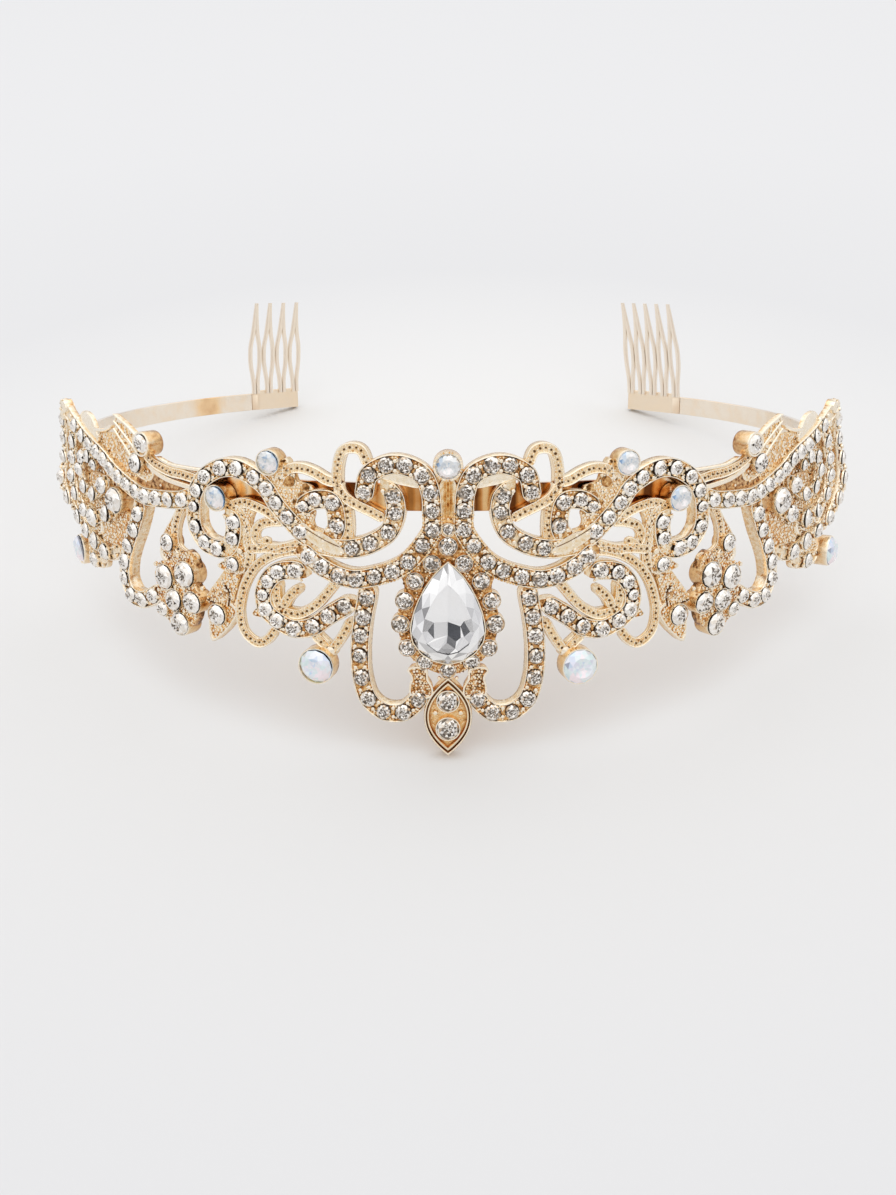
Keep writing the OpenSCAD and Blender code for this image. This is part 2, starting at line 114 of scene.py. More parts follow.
# A curve through the points, each stretch the cubic of its four nearest, cut again into equal steps
def smoothLine(points, step, closed=False):
    p = np.asarray(points, float)[:, :2]
    q = np.vstack([p[-1:], p, p[:2]]) if closed else np.vstack([p[:1], p, p[-1:]])
    a, b, c, d = (q[k:len(q) - 3 + k, None] for k in range(4))
    t = np.linspace(0, 1, 16, endpoint=False)[None, :, None]  # sixteen cuts in each stretch
    curve = 0.5 * (2 * b + (c - a) * t + (2 * a - 5 * b + 4 * c - d) * t**2 + (3 * b - a - 3 * c + d) * t**3)
    curve = np.vstack([curve.reshape(-1, 2), p[:1] if closed else p[-1:]])
    length = lengthAlong(curve)
    count = max(int(round(length[-1] / step)), 5)
    s = np.linspace(0, length[-1], count + 1)
    line = np.stack([np.interp(s, length, curve[:, k]) for k in (0, 1)], 1)
    return line[:-1] if closed else line


# The unit vector to the left of a line at each of its points
def leftOf(line, closed=False):
    d = np.roll(line, -1, 0) - np.roll(line, 1, 0) if closed else np.gradient(line, axis=0)
    d = d / np.maximum(np.linalg.norm(d, axis=1, keepdims=True), 1e-9)
    return np.stack([-d[:, 1], d[:, 0]], 1)


# Quads between neighbouring rows of a grid; its rows are closed rings
def ringFaces(rows, columns, closed=False):
    i = np.arange(rows if closed else rows - 1)[:, None] * columns
    nextRow = (i + columns) % (rows * columns)
    j = np.arange(columns)[None]
    k = (j + 1) % columns
    return np.stack([i + j, i + k, nextRow + k, nextRow + j], -1).reshape(-1, 4)


# What a piece is joined from: points, faces, the relief of each point, which the gold's colour ramp turns
# into painted shade and painted highlights (0 is a recess in painted shade, 1 a rim with a painted
# highlight), and the tone and material of each face (on the stones the tone is a painted reflection)
def part(points, faces, relief, tone=None, finish=None):
    count = sum(len(f) for f in faces)
    return {"points": points, "faces": faces,
            "relief": np.broadcast_to(np.asarray(relief, float), (len(points),)).astype(float),
            "tone": np.full(count, 0.5) if tone is None else tone,
            "finish": np.zeros(count, int) if finish is None else finish}


# A profile carried along frames: point = centre + side * across + top * out, for every step and corner
def carried(centre, side, top, across, out, relief, closed=False):
    rows, columns = len(centre), len(across[-1]) if np.ndim(across) > 1 else len(across)
    across, out = np.broadcast_to(across, (rows, columns)), np.broadcast_to(out, (rows, columns))
    points = centre[:, None] + side[:, None] * across[..., None] + top[:, None] * out[..., None]
    faces = [ringFaces(rows, columns, closed)]
    if not closed:
        loop0 = np.arange(columns)
        faces.append(np.stack([loop0[::-1], loop0 + (rows - 1) * columns]))
    tones = np.broadcast_to(relief, (rows, columns)).ravel()
    return part(points.reshape(-1, 3), faces, tones)


# A profile carried along a line on the panel; its ends are rounded by drawing the profile in on a circle,
# or drawn out to a fifth of their width over the lengths in narrow
def sweep(line, profile, lift=0, closed=False, narrow=(0, 0)):
    across, out, relief = (np.asarray(x, float) for x in profile)
    width = across.max()
    share = np.ones(len(line))
    if not closed:
        s = lengthAlong(line)
        gap = np.minimum(s, s[-1] - s) / width
        share = np.sqrt(np.clip(1 - (1 - np.clip(gap, 0, 1))**2, 0.3**2, 1))
        for reach, end in zip(narrow, (s, s[-1] - s)):
            share = share * (np.clip(end / reach, 0, 1)**0.6 * 0.8 + 0.2) if reach else share
    n = leftOf(line, closed)
    made = carried(raised(line, 0), raised(n, 0), raised(0 * n, 1), share[:, None] * across[None],
                   out[None] + lift, relief, closed)
    made["points"] = bend(made["points"])
    return made


# A section from its right half: the half, what lies in the middle, and the half's mirror image backwards
def mirrored(half, middle=()):
    return np.array(half + list(middle) + [[-row[0], *row[1:]] for row in half[::-1]]).T


# Section of a ribbon: plain sides, a raised rim at each edge and a lower bed between them; its relief paints
# shade on the back and the sides and a highlight on the rims
def channel(width, crest, bed, rim, bedTone, back=panel["back"]):
    h = width / 2
    return mirrored([[h - 0.1, back, 0.25], [h, back + 0.15, 0.35], [h, crest - 0.14, 0.68],
                     [h - 0.07, crest - 0.02, 1.0], [h - rim + 0.06, crest, 1.0],
                     [h - rim, crest - 0.05, 0.8], [h - rim - 0.12, bed, bedTone]])


# Each number from 0 to count - 1, and the one after it round a ring
def roundRing(count):
    j = np.arange(count)
    return j, (j + 1) % count


# The faces of one shape, repeated for count copies that have size points each
def tiled(faces, count, size):
    start = (np.arange(count) * size)[:, None, None]
    return [(f[None] + start).reshape(-1, f.shape[1]) for f in faces]


# Rings of points stacked from the back to the front and then inwards; a row holds the share of the
# outline, out and relief
def stacked(outline, centre, rows, rigidAt=None):
    rows = np.asarray(rows, float)
    flat = centre + (outline - centre) * rows[:, 0, None, None]
    points = np.concatenate([flat, np.broadcast_to(rows[:, 1, None, None], flat.shape[:2] + (1,))], -1)
    n, m = flat.shape[:2]
    points = points.reshape(-1, 3)
    points = np.vstack([points, [*centre, rows[-1, 1]]])
    j, k = roundRing(m)
    last = (n - 1) * m
    faces = [ringFaces(n, m), j[::-1][None], np.stack([last + j, last + k, np.full(m, n * m)], -1)]
    relief = np.append(np.repeat(rows[:, 2], m), rows[-1, 2])
    return part(rigid(rigidAt, points) if rigidAt is not None else bend(points), faces, relief)


# Sets local points [east, up, out] rigidly at a place on the curved face
def rigid(place, points):
    a = place[0] / panel["face"]
    east, out = np.array([np.cos(a), np.sin(a), 0]), np.array([np.sin(a), -np.cos(a), 0])
    return (points[:, :1] * east + points[:, 1:2] * np.array([0, 0, 1])
            + (points[:, 2:3] + flare(place[0], place[1])) * out + np.array([0, 0, place[1]]))


# Points on a circle: radius * (cos, sin) of equal steps of the angle
def circle(count, radius=1.0):
    a = np.arange(count) * 2 * np.pi / count
    return np.stack([np.cos(a), np.sin(a)], 1) * radius


# A turned cup: rows are [radius, out, relief]
def cup(place, rows, count=24):
    return stacked(circle(count), np.zeros(2), rows, rigidAt=place)


# Cup walls for a stone of a given width: foot, side, lip, and the inner side down to the bed; their relief
# paints shade at the foot and down inside, and a highlight on the lip
def cupRows(width, foot, lip, bed, wall):
    r = width / 2
    return [[r + wall - 0.12, foot, 0.05], [r + wall - 0.02, foot + 0.25, 0.18], [r + wall, lip - 0.3, 0.45],
            [r + wall - 0.06, lip, 1.0], [r + 0.03, lip, 1.0], [r - 0.04, lip - 0.12, 0.6],
            [r - 0.1, bed, 0.1]]


# Small domes, all of one shape: each is a ring at its foot, a narrower ring and a pole
def domes(places, out, radius, tone=0.95, sides=7):
    places = np.asarray(places, float)[:, :2]
    tones = np.broadcast_to(tone, (len(places),))[:, None]
    radius = np.broadcast_to(radius, (len(places),))[:, None, None]
    shape = np.vstack([raised(circle(sides), -0.5), raised(circle(sides, 0.78), 0.55), [[0, 0, 0.9]]])
    points = shape[None] * radius + raised(places, out)[:, None]
    j, k = roundRing(sides)
    faces = [np.stack([j, k, sides + k, sides + j], -1),
             np.stack([sides + j, sides + k, np.full(sides, 2 * sides)], -1)]
    # the foot ring gets a quarter of the tone: painted shade round each dome's foot
    relief = np.hstack([np.repeat(0.25 * tones, sides, 1), np.repeat(tones, sides + 1, 1)]).ravel()
    return part(bend(points.reshape(-1, 3)), tiled(faces, len(places), 2 * sides + 1), relief)


# Domes whose radii and then tones are drawn between two limits each
def strewn(places, out, sizes, tones, chance, sides=5):
    radius = chance.uniform(*sizes, len(places))
    return domes(places, out, radius, chance.uniform(*tones, len(places)), sides)


# Painted shade round the stones: a flat dark disc, wider than each stone by spare all round, put where the
# shade of the hollow round it falls
def shadeDiscs(rows, out, spare, sides=14, tone=-0.05):
    disc = np.concatenate([[[0, 0]], circle(sides)])
    foot = disc * (rows[:, 2, None, None] / 2 + spare) + rows[:, None, :2]
    points = raised(foot.reshape(-1, 2), out)
    j, k = roundRing(sides)
    fan = np.stack([0 * j, 1 + j, 1 + k], -1)
    return part(bend(points), tiled([fan], len(rows), sides + 1), tone)


# Points at an equal pitch along a line, shifted to its left
def alongLine(line, pitch, shift=0, ends=0.5):
    s = lengthAlong(line)
    count = max(int((s[-1] - 2 * ends) / pitch), 1)
    at = np.linspace(ends, s[-1] - ends, count + 1)
    shifted = line + leftOf(line) * shift
    return np.stack([np.interp(at, s, shifted[:, k]) for k in (0, 1)], 1)


# Points of a slightly shaken honeycomb that lie inside an outline, more than edge from it: a point is
# inside where a line from it to the right crosses the outline an odd number of times
def honeycomb(outline, pitch, seed, edge=0.0):
    line = smoothLine(outline, 0.5, closed=True)
    low, high = line.min(0), line.max(0)
    rows, columns = np.mgrid[low[1]:high[1]:pitch * 0.87, low[0]:high[0]:pitch]
    columns = columns + (np.arange(len(rows)) % 2)[:, None] * pitch / 2
    spots = np.stack([columns.ravel(), rows.ravel()], 1)
    spots = spots + np.random.default_rng(seed).normal(0, 0.17 * pitch, spots.shape)
    a, b = line[None], np.roll(line, -1, 0)[None]
    x, y = spots[:, None, 0], spots[:, None, 1]
    crosses = ((a[..., 1] > y) != (b[..., 1] > y)) & (
        x < a[..., 0] + (y - a[..., 1]) * (b[..., 0] - a[..., 0]) / (b[..., 1] - a[..., 1] + 1e-12))
    near = np.linalg.norm(spots[:, None] - a, axis=2).min(1)
    return spots[(crosses.sum(1) % 2 == 1) & (near > edge)]


# Keeps the spots that are more than gap away from every stone's rim
def clearOf(spots, stones, gap):
    away = np.linalg.norm(spots[:, None] - stones[None, :, :2], axis=2) - stones[:, 2] / 2
    return spots[away.min(1) > gap]


# A line and its mirror image across the middle
def bothSides(line):
    line = np.asarray(line, float)
    return [line, line * np.array([-1.0] + [1.0] * (line.shape[1] - 1))]


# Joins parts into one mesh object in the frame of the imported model, with relief and tone as attributes
def makePiece(name, parts, materials, nodes=(), smooth=True):
    points = np.concatenate([p["points"] for p in parts])
    starts = np.cumsum([0] + [len(p["points"]) for p in parts])
    groups = [f + s for p, s in zip(parts, starts) for f in p["faces"]]
    sizes = np.concatenate([np.full(len(g), g.shape[1]) for g in groups])
    mesh = bpy.data.meshes.new(name)
    mesh.vertices.add(len(points))
    mesh.vertices.foreach_set("co", restPoints(points).astype(np.float32).ravel())
    mesh.loops.add(int(sizes.sum()))
    mesh.loops.foreach_set("vertex_index", np.concatenate([g.ravel() for g in groups]).astype(np.int32))
    mesh.polygons.add(len(sizes))
    mesh.polygons.foreach_set("loop_start", (np.cumsum(sizes) - sizes).astype(np.int32))
    mesh.polygons.foreach_set("material_index", np.concatenate([p["finish"] for p in parts]).astype(np.int32))
    mesh.update(calc_edges=True)
    for label, kind in (("relief", "POINT"), ("tone", "FACE")):
        values = np.concatenate([p[label] for p in parts]).astype(np.float32)
        mesh.attributes.new(label, "FLOAT", kind).data.foreach_set("value", values)
    if smooth:
        mesh.shade_smooth()
        mesh.set_sharp_from_angle(angle=np.radians(38))
    else:
        mesh.shade_flat()
    for material in materials:
        mesh.materials.append(material)
    piece = bpy.data.objects.new(name, mesh)
    bpy.context.scene.collection.objects.link(piece)
    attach(piece, "root")
    if nodes:
        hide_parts(*nodes)


# Node tools: a material with its shader, a colour ramp, a noise, an attribute of the piece, a piece of
# arithmetic on numbers or other nodes' outputs, and a value carried from one range to another
def newMaterial(name, **sockets):
    material = bpy.data.materials.new(name)
    material.use_nodes = True
    shader = material.node_tree.nodes["Principled BSDF"]
    for socket, value in sockets.items():
        shader.inputs[socket.replace("_", " ")].default_value = value
    return material, material.node_tree.nodes, material.node_tree.links, shader


def ramp(nodes, stops):
    node = nodes.new("ShaderNodeValToRGB")
    while len(node.color_ramp.elements) < len(stops):
        node.color_ramp.elements.new(0.5)
    for element, (position, colour) in zip(node.color_ramp.elements, stops):
        element.position, element.color = position, (*colour, 1)
    return node


def noise(nodes, links, scale, detail):
    where = nodes.new("ShaderNodeTexCoord")
    texture = nodes.new("ShaderNodeTexNoise")
    texture.inputs["Scale"].default_value = scale
    texture.inputs["Detail"].default_value = detail
    links.new(where.outputs["Object"], texture.inputs["Vector"])
    return texture.outputs["Fac"]


def attribute(nodes, label):
    node = nodes.new("ShaderNodeAttribute")
    node.attribute_name = label
    return node.outputs["Fac"]


def maths(nodes, links, operation, *values):
    node = nodes.new("ShaderNodeMath")
    node.operation = operation
    for socket, value in zip(node.inputs, values):
        if isinstance(value, (int, float)):
            socket.default_value = value
        else:
            links.new(value, socket)
    return node.outputs[0]


def mapped(nodes, links, value, limits):
    node = nodes.new("ShaderNodeMapRange")
    for socket, limit in zip(("From Min", "From Max", "To Min", "To Max"), limits):
        node.inputs[socket].default_value = limit
    links.new(value, node.inputs["Value"])
    return node.outputs["Result"]


# Gold plate: a ramp from painted shade in the recesses to painted highlights on the rims, noise that mottles
# it, the scale and depth of its grain, and pale: from 28 to 58 mm aside of the middle the saturation falls to
# 0.83
goldLook = {"stops": [(0.0, (0.16, 0.07, 0.02)), (0.06, (0.42, 0.17, 0.045)), (0.3, (0.80, 0.50, 0.21)),
                      (0.6, (0.92, 0.765, 0.53)), (1.0, (0.98, 0.88, 0.72))],
            "mottle": 0.3, "mottleScale": 420, "grainScale": 2000, "grainDepth": 0.00006,
            "pale": (0.028, 0.058, 1.0, 0.83)}
bandLook = dict(goldLook, stops=[(0.0, (0.13, 0.04, 0.01)), (0.25, (0.58, 0.235, 0.055)),
                                 (0.5, (0.89, 0.59, 0.28)), (0.74, (0.88, 0.765, 0.625)),
                                 (1.0, (0.95, 0.87, 0.75))])
combLook = dict(goldLook, stops=[(0.0, (0.55, 0.33, 0.17)), (0.5, (0.92, 0.76, 0.56)),
                                 (0.8, (0.90, 0.785, 0.63)), (1.0, (0.91, 0.81, 0.68))])


# The place on the ramp is relief + mottle * (wide noise - 0.5) + speck * (fine noise - 0.5); the fine noise
# also sets the roughness, between two limits, and the bump
def castGold(name, look, roughness, grain, speck=0.0):
    material, nodes, links, shader = newMaterial(name, Metallic=1.0)
    wide, fine = noise(nodes, links, look["mottleScale"], 3), noise(nodes, links, look["grainScale"], 2)
    spread = maths(nodes, links, "MULTIPLY_ADD", wide, look["mottle"], -look["mottle"] / 2 - speck / 2)
    speckle = maths(nodes, links, "MULTIPLY_ADD", fine, speck, attribute(nodes, "relief"))
    colours = ramp(nodes, look["stops"])
    links.new(maths(nodes, links, "ADD", spread, speckle), colours.inputs[0])
    # the colour grows paler with the distance from the middle, on both sides
    place, split = nodes.new("ShaderNodeTexCoord"), nodes.new("ShaderNodeSeparateXYZ")
    links.new(place.outputs["Object"], split.inputs[0])
    aside = maths(nodes, links, "ABSOLUTE", split.outputs["X"])
    wash = nodes.new("ShaderNodeHueSaturation")
    links.new(mapped(nodes, links, aside, look["pale"]), wash.inputs["Saturation"])
    links.new(colours.outputs["Color"], wash.inputs["Color"])
    links.new(wash.outputs["Color"], shader.inputs["Base Color"])
    links.new(mapped(nodes, links, fine, (0, 1, *roughness)), shader.inputs["Roughness"])
    bump = nodes.new("ShaderNodeBump")
    bump.inputs["Strength"].default_value = grain
    bump.inputs["Distance"].default_value = look["grainDepth"]
    links.new(fine, bump.inputs["Height"])
    links.new(bump.outputs["Normal"], shader.inputs["Normal"])
    return material


# The clear crown of the pear, with a faint haze
def crownGlass(name, tint):
    material, nodes, links, shader = newMaterial(name, Roughness=0.01, IOR=1.54)
    shader.inputs["Transmission Weight"].default_value = 1.0
    haze = ramp(nodes, tint)
    links.new(noise(nodes, links, 900, 1), haze.inputs[0])
    links.new(haze.outputs["Color"], shader.inputs["Base Color"])
    return material


# Foil behind cut glass: each facet's tone, a painted reflection, is its place on the ramp
def foilBack(name, stops, metallic, roughness):
    material, nodes, links, shader = newMaterial(name, Metallic=metallic, Roughness=roughness)
    colours = ramp(nodes, stops)
    links.new(attribute(nodes, "tone"), colours.inputs[0])
    links.new(colours.outputs["Color"], shader.inputs["Base Color"])
    return material


panelGold = castGold("panelGold", goldLook, (0.16, 0.34), 0.7, 1.1)
stripGold = castGold("stripGold", goldLook, (0.14, 0.3), 0.3, 0.5)
bandGold = castGold("bandGold", bandLook, (0.12, 0.22), 0.06)
combGold = castGold("combGold", combLook, (0.3, 0.42), 0.06)
clearCrown = crownGlass("clearCrown", [(0.3, (1.0, 0.99, 0.98)), (0.7, (1.0, 1.0, 1.0))])
clearFoil = foilBack("clearFoil", [(0.0, (0.065, 0.052, 0.04)), (0.27, (0.34, 0.29, 0.24)),
                                   (0.36, (0.66, 0.47, 0.30)), (0.48, (0.82, 0.77, 0.70)),
                                   (1.0, (1.0, 0.97, 0.93))], 0.9, 0.06)
pearFoil = foilBack("pearFoil", [(0.0, (0.06, 0.064, 0.075)), (0.3, (0.36, 0.355, 0.355)),
                                 (0.5, (0.77, 0.765, 0.765)), (1.0, (1.0, 0.995, 0.985))], 0.9, 0.04)
# The rainbow stones' pastel hues are their coating's own; the light and dark of their facets are painted
# reflections
rainbowFoil = foilBack("rainbowFoil", [(0.0, (0.40, 0.42, 0.50)), (0.14, (0.55, 0.70, 0.85)),
                                       (0.34, (0.74, 0.74, 0.84)), (0.56, (0.85, 0.87, 0.90)),
                                       (0.78, (0.70, 0.83, 0.83)), (1.0, (0.93, 0.82, 0.85))], 0.5, 0.08)
mistFoil = foilBack("mistFoil", [(0.0, (0.22, 0.34, 0.52)), (0.2, (0.46, 0.56, 0.68)),
                                 (0.45, (0.68, 0.69, 0.69)), (0.75, (0.78, 0.79, 0.78)),
                                 (1.0, (0.92, 0.87, 0.86))], 0.6, 0.08)
print("materials made")

# Ribbons that carry stones. line holds places, where width 0 is a bend without a stone; lift raises the
# ribbon, wider is a factor on the stones' widths, ends are the lengths over which the ribbon narrows, and
# section names one of ribbonSections
ribbons = {
    "arch": {"lift": 0.12, "wider": 1.06, "ends": (0, 0), "section": "plain", "line": [
        [12.3, -2.3, 0], [12.0, -0.9, 2.1], [11.3, 1.6, 2.2], [8.8, 3.0, 2.2], [6.2, 3.0, 2.4],
        [3.6, 1.7, 2.4], [2.5, -0.8, 2.4], [2.3, -3.4, 2.3], [2.3, -6.1, 2.3], [3.7, -8.5, 2.2],
        [5.8, -10.9, 2.3], [8.1, -12.3, 2.3], [10.8, -13.2, 2.2], [13.5, -13.7, 2.4], [16.1, -13.3, 2.4],
        [18.8, -12.1, 2.4], [20.7, -10.7, 2.4], [22.3, -9.3, 0]]},
    "wave": {"lift": 0.0, "wider": 1.03, "ends": (3.0, 2.0), "section": "pale", "line": [
        [9.6, 0.9, 0], [7.8, -1.4, 2.4], [7.5, -3.8, 2.1], [8.6, -6.6, 2.3], [11.3, -8.4, 2.3],
        [14.1, -9.2, 2.3], [17.2, -9.2, 0], [19.8, -8.6, 0], [21.9, -7.1, 2.3], [24.0, -5.1, 2.2],
        [25.8, -3.1, 2.2], [27.2, -1.1, 2.3], [29.3, 0.4, 2.2], [32.2, 1.5, 2.3], [35.1, 1.3, 2.3],
        [38.0, -0.2, 2.2], [39.9, -2.4, 2.1], [40.6, -4.9, 1.7], [40.5, -8.0, 2.2], [38.8, -10.2, 2.3],
        [36.5, -10.9, 2.3], [34.5, -10.6, 0], [33.5, -9.1, 2.2], [33.2, -6.6, 2.2], [34.4, -4.6, 0]]},
    "ring": {"lift": -0.08, "wider": 1, "ends": (1.5, 2.5), "section": "plain", "line": [
        [22.2, -4.4, 0], [21.4, -3.4, 1.7], [19.5, -2.3, 2.2], [16.9, -2.6, 2.4], [16.3, -6.0, 2.4],
        [17.6, -7.9, 0], [19.7, -8.4, 0]]},
    "loop": {"lift": 0.0, "wider": 1.04, "ends": (0, 0), "section": "plain", "line": [
        [11.8, -14.4, 0], [12.0, -16.5, 2.4], [12.6, -19.4, 2.4], [13.0, -22.3, 2.4], [13.2, -25.4, 2.3],
        [13.0, -28.7, 2.4], [12.0, -32.0, 2.4], [9.7, -33.9, 2.1], [6.7, -33.9, 2.4], [4.5, -31.9, 2.3],
        [4.3, -30.6, 0]]},
    "scroll": {"lift": -0.1, "wider": 1.03, "ends": (2.0, 1.5), "section": "plain", "line": [
        [13.4, -17.0, 0], [15.4, -18.0, 2.3], [18.0, -19.6, 2.4], [20.5, -21.4, 2.4], [23.6, -22.0, 2.4],
        [26.3, -21.0, 2.3], [28.2, -19.4, 2.3], [28.6, -17.2, 1.7], [27.7, -15.1, 2.1], [25.9, -13.5, 2.2],
        [23.0, -13.0, 2.4], [21.2, -13.9, 0]]},
    "wingRow": {"lift": 0.08, "wider": 1.13, "ends": (0, 0), "section": "wing", "line": [
        [40.6, -3.2, 0], [42.9, -4.1, 2.1], [45.9, -4.4, 2.2], [48.7, -4.5, 2.2], [51.4, -4.5, 2.2],
        [53.7, -4.0, 2.1], [56.0, -3.2, 2.1], [58.3, -2.3, 2.2], [60.5, -1.3, 2.2], [62.7, 0, 2.2],
        [65.0, 1.0, 2.2], [67.6, 1.9, 2.1], [70.4, 3.0, 2.1], [73.3, 4.4, 2.1], [76.4, 6.0, 0],
        [79.6, 7.4, 0]]},
    "wingLoop": {"lift": 0.0, "wider": 1.12, "ends": (0, 0), "section": "plain", "line": [
        [52.6, -5.0, 0], [53.7, -7.6, 2.3], [55.2, -10.4, 2.3], [57.1, -13.3, 2.3], [58.5, -16.1, 2.4],
        [58.9, -18.9, 2.3], [57.2, -21.4, 2.3], [54.2, -21.7, 2.3], [51.1, -20.5, 2.2], [49.2, -19.2, 0]]},
    "wingCurl": {"lift": 0.05, "wider": 1.08, "ends": (0, 0), "section": "slim", "line": [
        [61.8, -3.2, 0], [64.2, -4.4, 2.6], [68.0, -6.3, 2.3], [71.4, -5.6, 2.2], [72.9, -3.0, 2.2],
        [71.6, -0.6, 2.2], [68.8, -0.2, 2.1], [66.6, -1.4, 1.7]]},
    "wingSpray": {"lift": 0.0, "wider": 1.08, "ends": (0, 0), "section": "slim", "line": [
        [60.2, -8.0, 0], [63.8, -9.0, 2.7], [66.4, -9.8, 0], [69.2, -10.6, 3.0], [73.0, -9.8, 2.3],
        [75.8, -7.4, 2.3], [76.8, -4.4, 2.3], [76.5, -1.4, 2.3], [75.6, 1.4, 2.3], [75.0, 4.2, 0]]},
    "wingEdge": {"lift": -0.06, "wider": 1.06, "ends": (0, 1.5), "section": "slim", "line": [
        [60.2, -14.2, 0], [62.6, -15.6, 0], [65.6, -15.8, 2.7], [69.8, -14.6, 2.8], [73.8, -13.6, 2.6],
        [77.6, -11.8, 2.6], [80.4, -8.8, 2.4], [81.6, -5.4, 2.3], [81.8, -2.0, 2.3], [81.4, 1.4, 2.3],
        [80.4, 4.6, 2.2], [79.4, 7.6, 0]]},
    "wingFoot": {"lift": -0.1, "wider": 1, "ends": (0, 0), "section": "slim", "line": [
        [65.4, -17.2, 0], [68.2, -18.0, 0], [71.0, -18.2, 2.5], [74.6, -17.9, 0]]},
}

# Stones in cups of their own: one side, and those of the middle
halo = [[2.6, -12.2, 0], [4.8, -13.7, 2.4], [6.4, -16.7, 2.55], [7.0, -20.2, 2.6], [6.0, -23.8, 2.5],
        [3.5, -26.0, 1.9], [0, -27.3, 0]]
topCup = [0, 3.0, 3.45]
rainbowCups = {"side": [26.5, 2.8, 3.4], "curl": [35.8, -3.1, 3.6], "drop": [19.9, -27.3, 5.2],
               "wing": [77.6, -17.6, 4.8]}
bezelCup = [50.5, 3.7, 3.2]
marquiseStones = {"upper": [0, -32.0, 3.1], "lower": [0, -36.35, 3.35]}
flower = [[47.1, -16.6, 3.9], [42.6, -15.6, 4.0], [45.3, -20.0, 3.4], [41.4, -19.9, 3.4],
          [44.2, -23.7, 3.6], [48.0, -21.9, 2.2]]
leafCups = [[33.5, -13.0, 2.2], [37.0, -21.3, 3.2], [46.6, -11.2, 2.75], [53.1, 0.5, 3.0]]
centreCups = [[0, -6.1, 1.9], [0, -8.5, 2.5], [2.3, -11.0, 2.4]]
wingBig = [59.0, -6.1, 4.0]
# How they are set: the girdle's, the lip's and the bed's distance from the axis, the cup's wall and sides
settings = {kind: dict(zip(("girdle", "lip", "bed", "wall", "sides"), values)) for kind, values in {
    "rainbow": (74.95, 74.9, 73.3, 0.24, 32), "top": (74.95, 74.9, 73.3, 0.42, 32),
    "bezel": (75.0, 75.15, 73.3, 0.34, 32), "flower": (75.15, 75.05, 73.3, 0.18, 28),
    "leaf": (74.6, 74.5, 73.3, 0.18, 28), "wingBig": (75.2, 75.05, 73.3, 0.18, 28),
    "halo": (74.5, 74.38, 73.5, 0.15, 24), "centre": (74.75, 74.62, 73.5, 0.15, 24),
    "marquise": (74.55, 74.55, 73.6, 0.24, 28), "fine": (74.4,)}.items()}

# A round stone of width 1. rings: radius and height from the middle out; the edge and the wall are depths
stoneShape = {"rings": [[0.09, 0.115], [0.19, 0.14], [0.30, 0.17], [0.41, 0.10], [0.5, 0]], "middle": 0.125,
              "edge": 0.012, "wall": 0.13, "tilt": 4.5, "sides": 12}
# Its painted light and shade. rimShift moves the dark rim, a painted shadow in the gap beside the stone,
# towards the middle of the tiara, by a share that depends on the distance from there; dark is the share of
# dark facets, painted reflections, by their distance from the stone's own middle
sparkle = {"rimShift": 0.13, "shiftShare": ([16, 30, 58, 68], [0, 1, 1, 0.45]),
           "dark": ([0.06, 0.12, 0.16, 0.227, 0.263, 0.337, 0.373, 0.44, 0.47],
                    [0.62, 0.4, 0.8, 0.82, 0.28, 0.5, 0.1, 0.1, 0.36])}


# A ring of points turned by a share of its step
def turned(ring, share):
    a = 2 * np.pi * share / len(ring)
    return ring @ np.array([[np.cos(a), np.sin(a)], [-np.sin(a), np.cos(a)]])


# A round stone: facets between rings that are each turned by half a step, a wall below the girdle and a
# flat foil back
def stoneTemplate():
    n = stoneShape["sides"]
    rings = [turned(circle(n, r), 0.5 * k) for k, (r, _) in enumerate(stoneShape["rings"])]
    heights = [h for _, h in stoneShape["rings"]] + [-stoneShape["edge"], -stoneShape["wall"]]
    rings += [rings[-1] * 1.02, rings[-1] * 0.92]
    points = np.vstack([raised(r, h) for r, h in zip(rings, heights)] + [[[0, 0, stoneShape["middle"]]]])
    j, k = roundRing(n)
    fan = [np.stack([np.full(n, len(points) - 1), j, k], -1)]
    for low in range(len(rings) - 3):
        a, b = low * n, (low + 1) * n
        fan += [np.stack([a + j, b + j, a + k], -1), np.stack([a + k, b + j, b + k], -1)]
    e, f, g = ((len(rings) - m) * n for m in (3, 2, 1))
    wall = np.concatenate([np.stack([low + j, up + j, up + k, low + k], -1) for low, up in ((e, f), (f, g))])
    return points, np.concatenate(fan), wall, (g + j[::-1])[None]


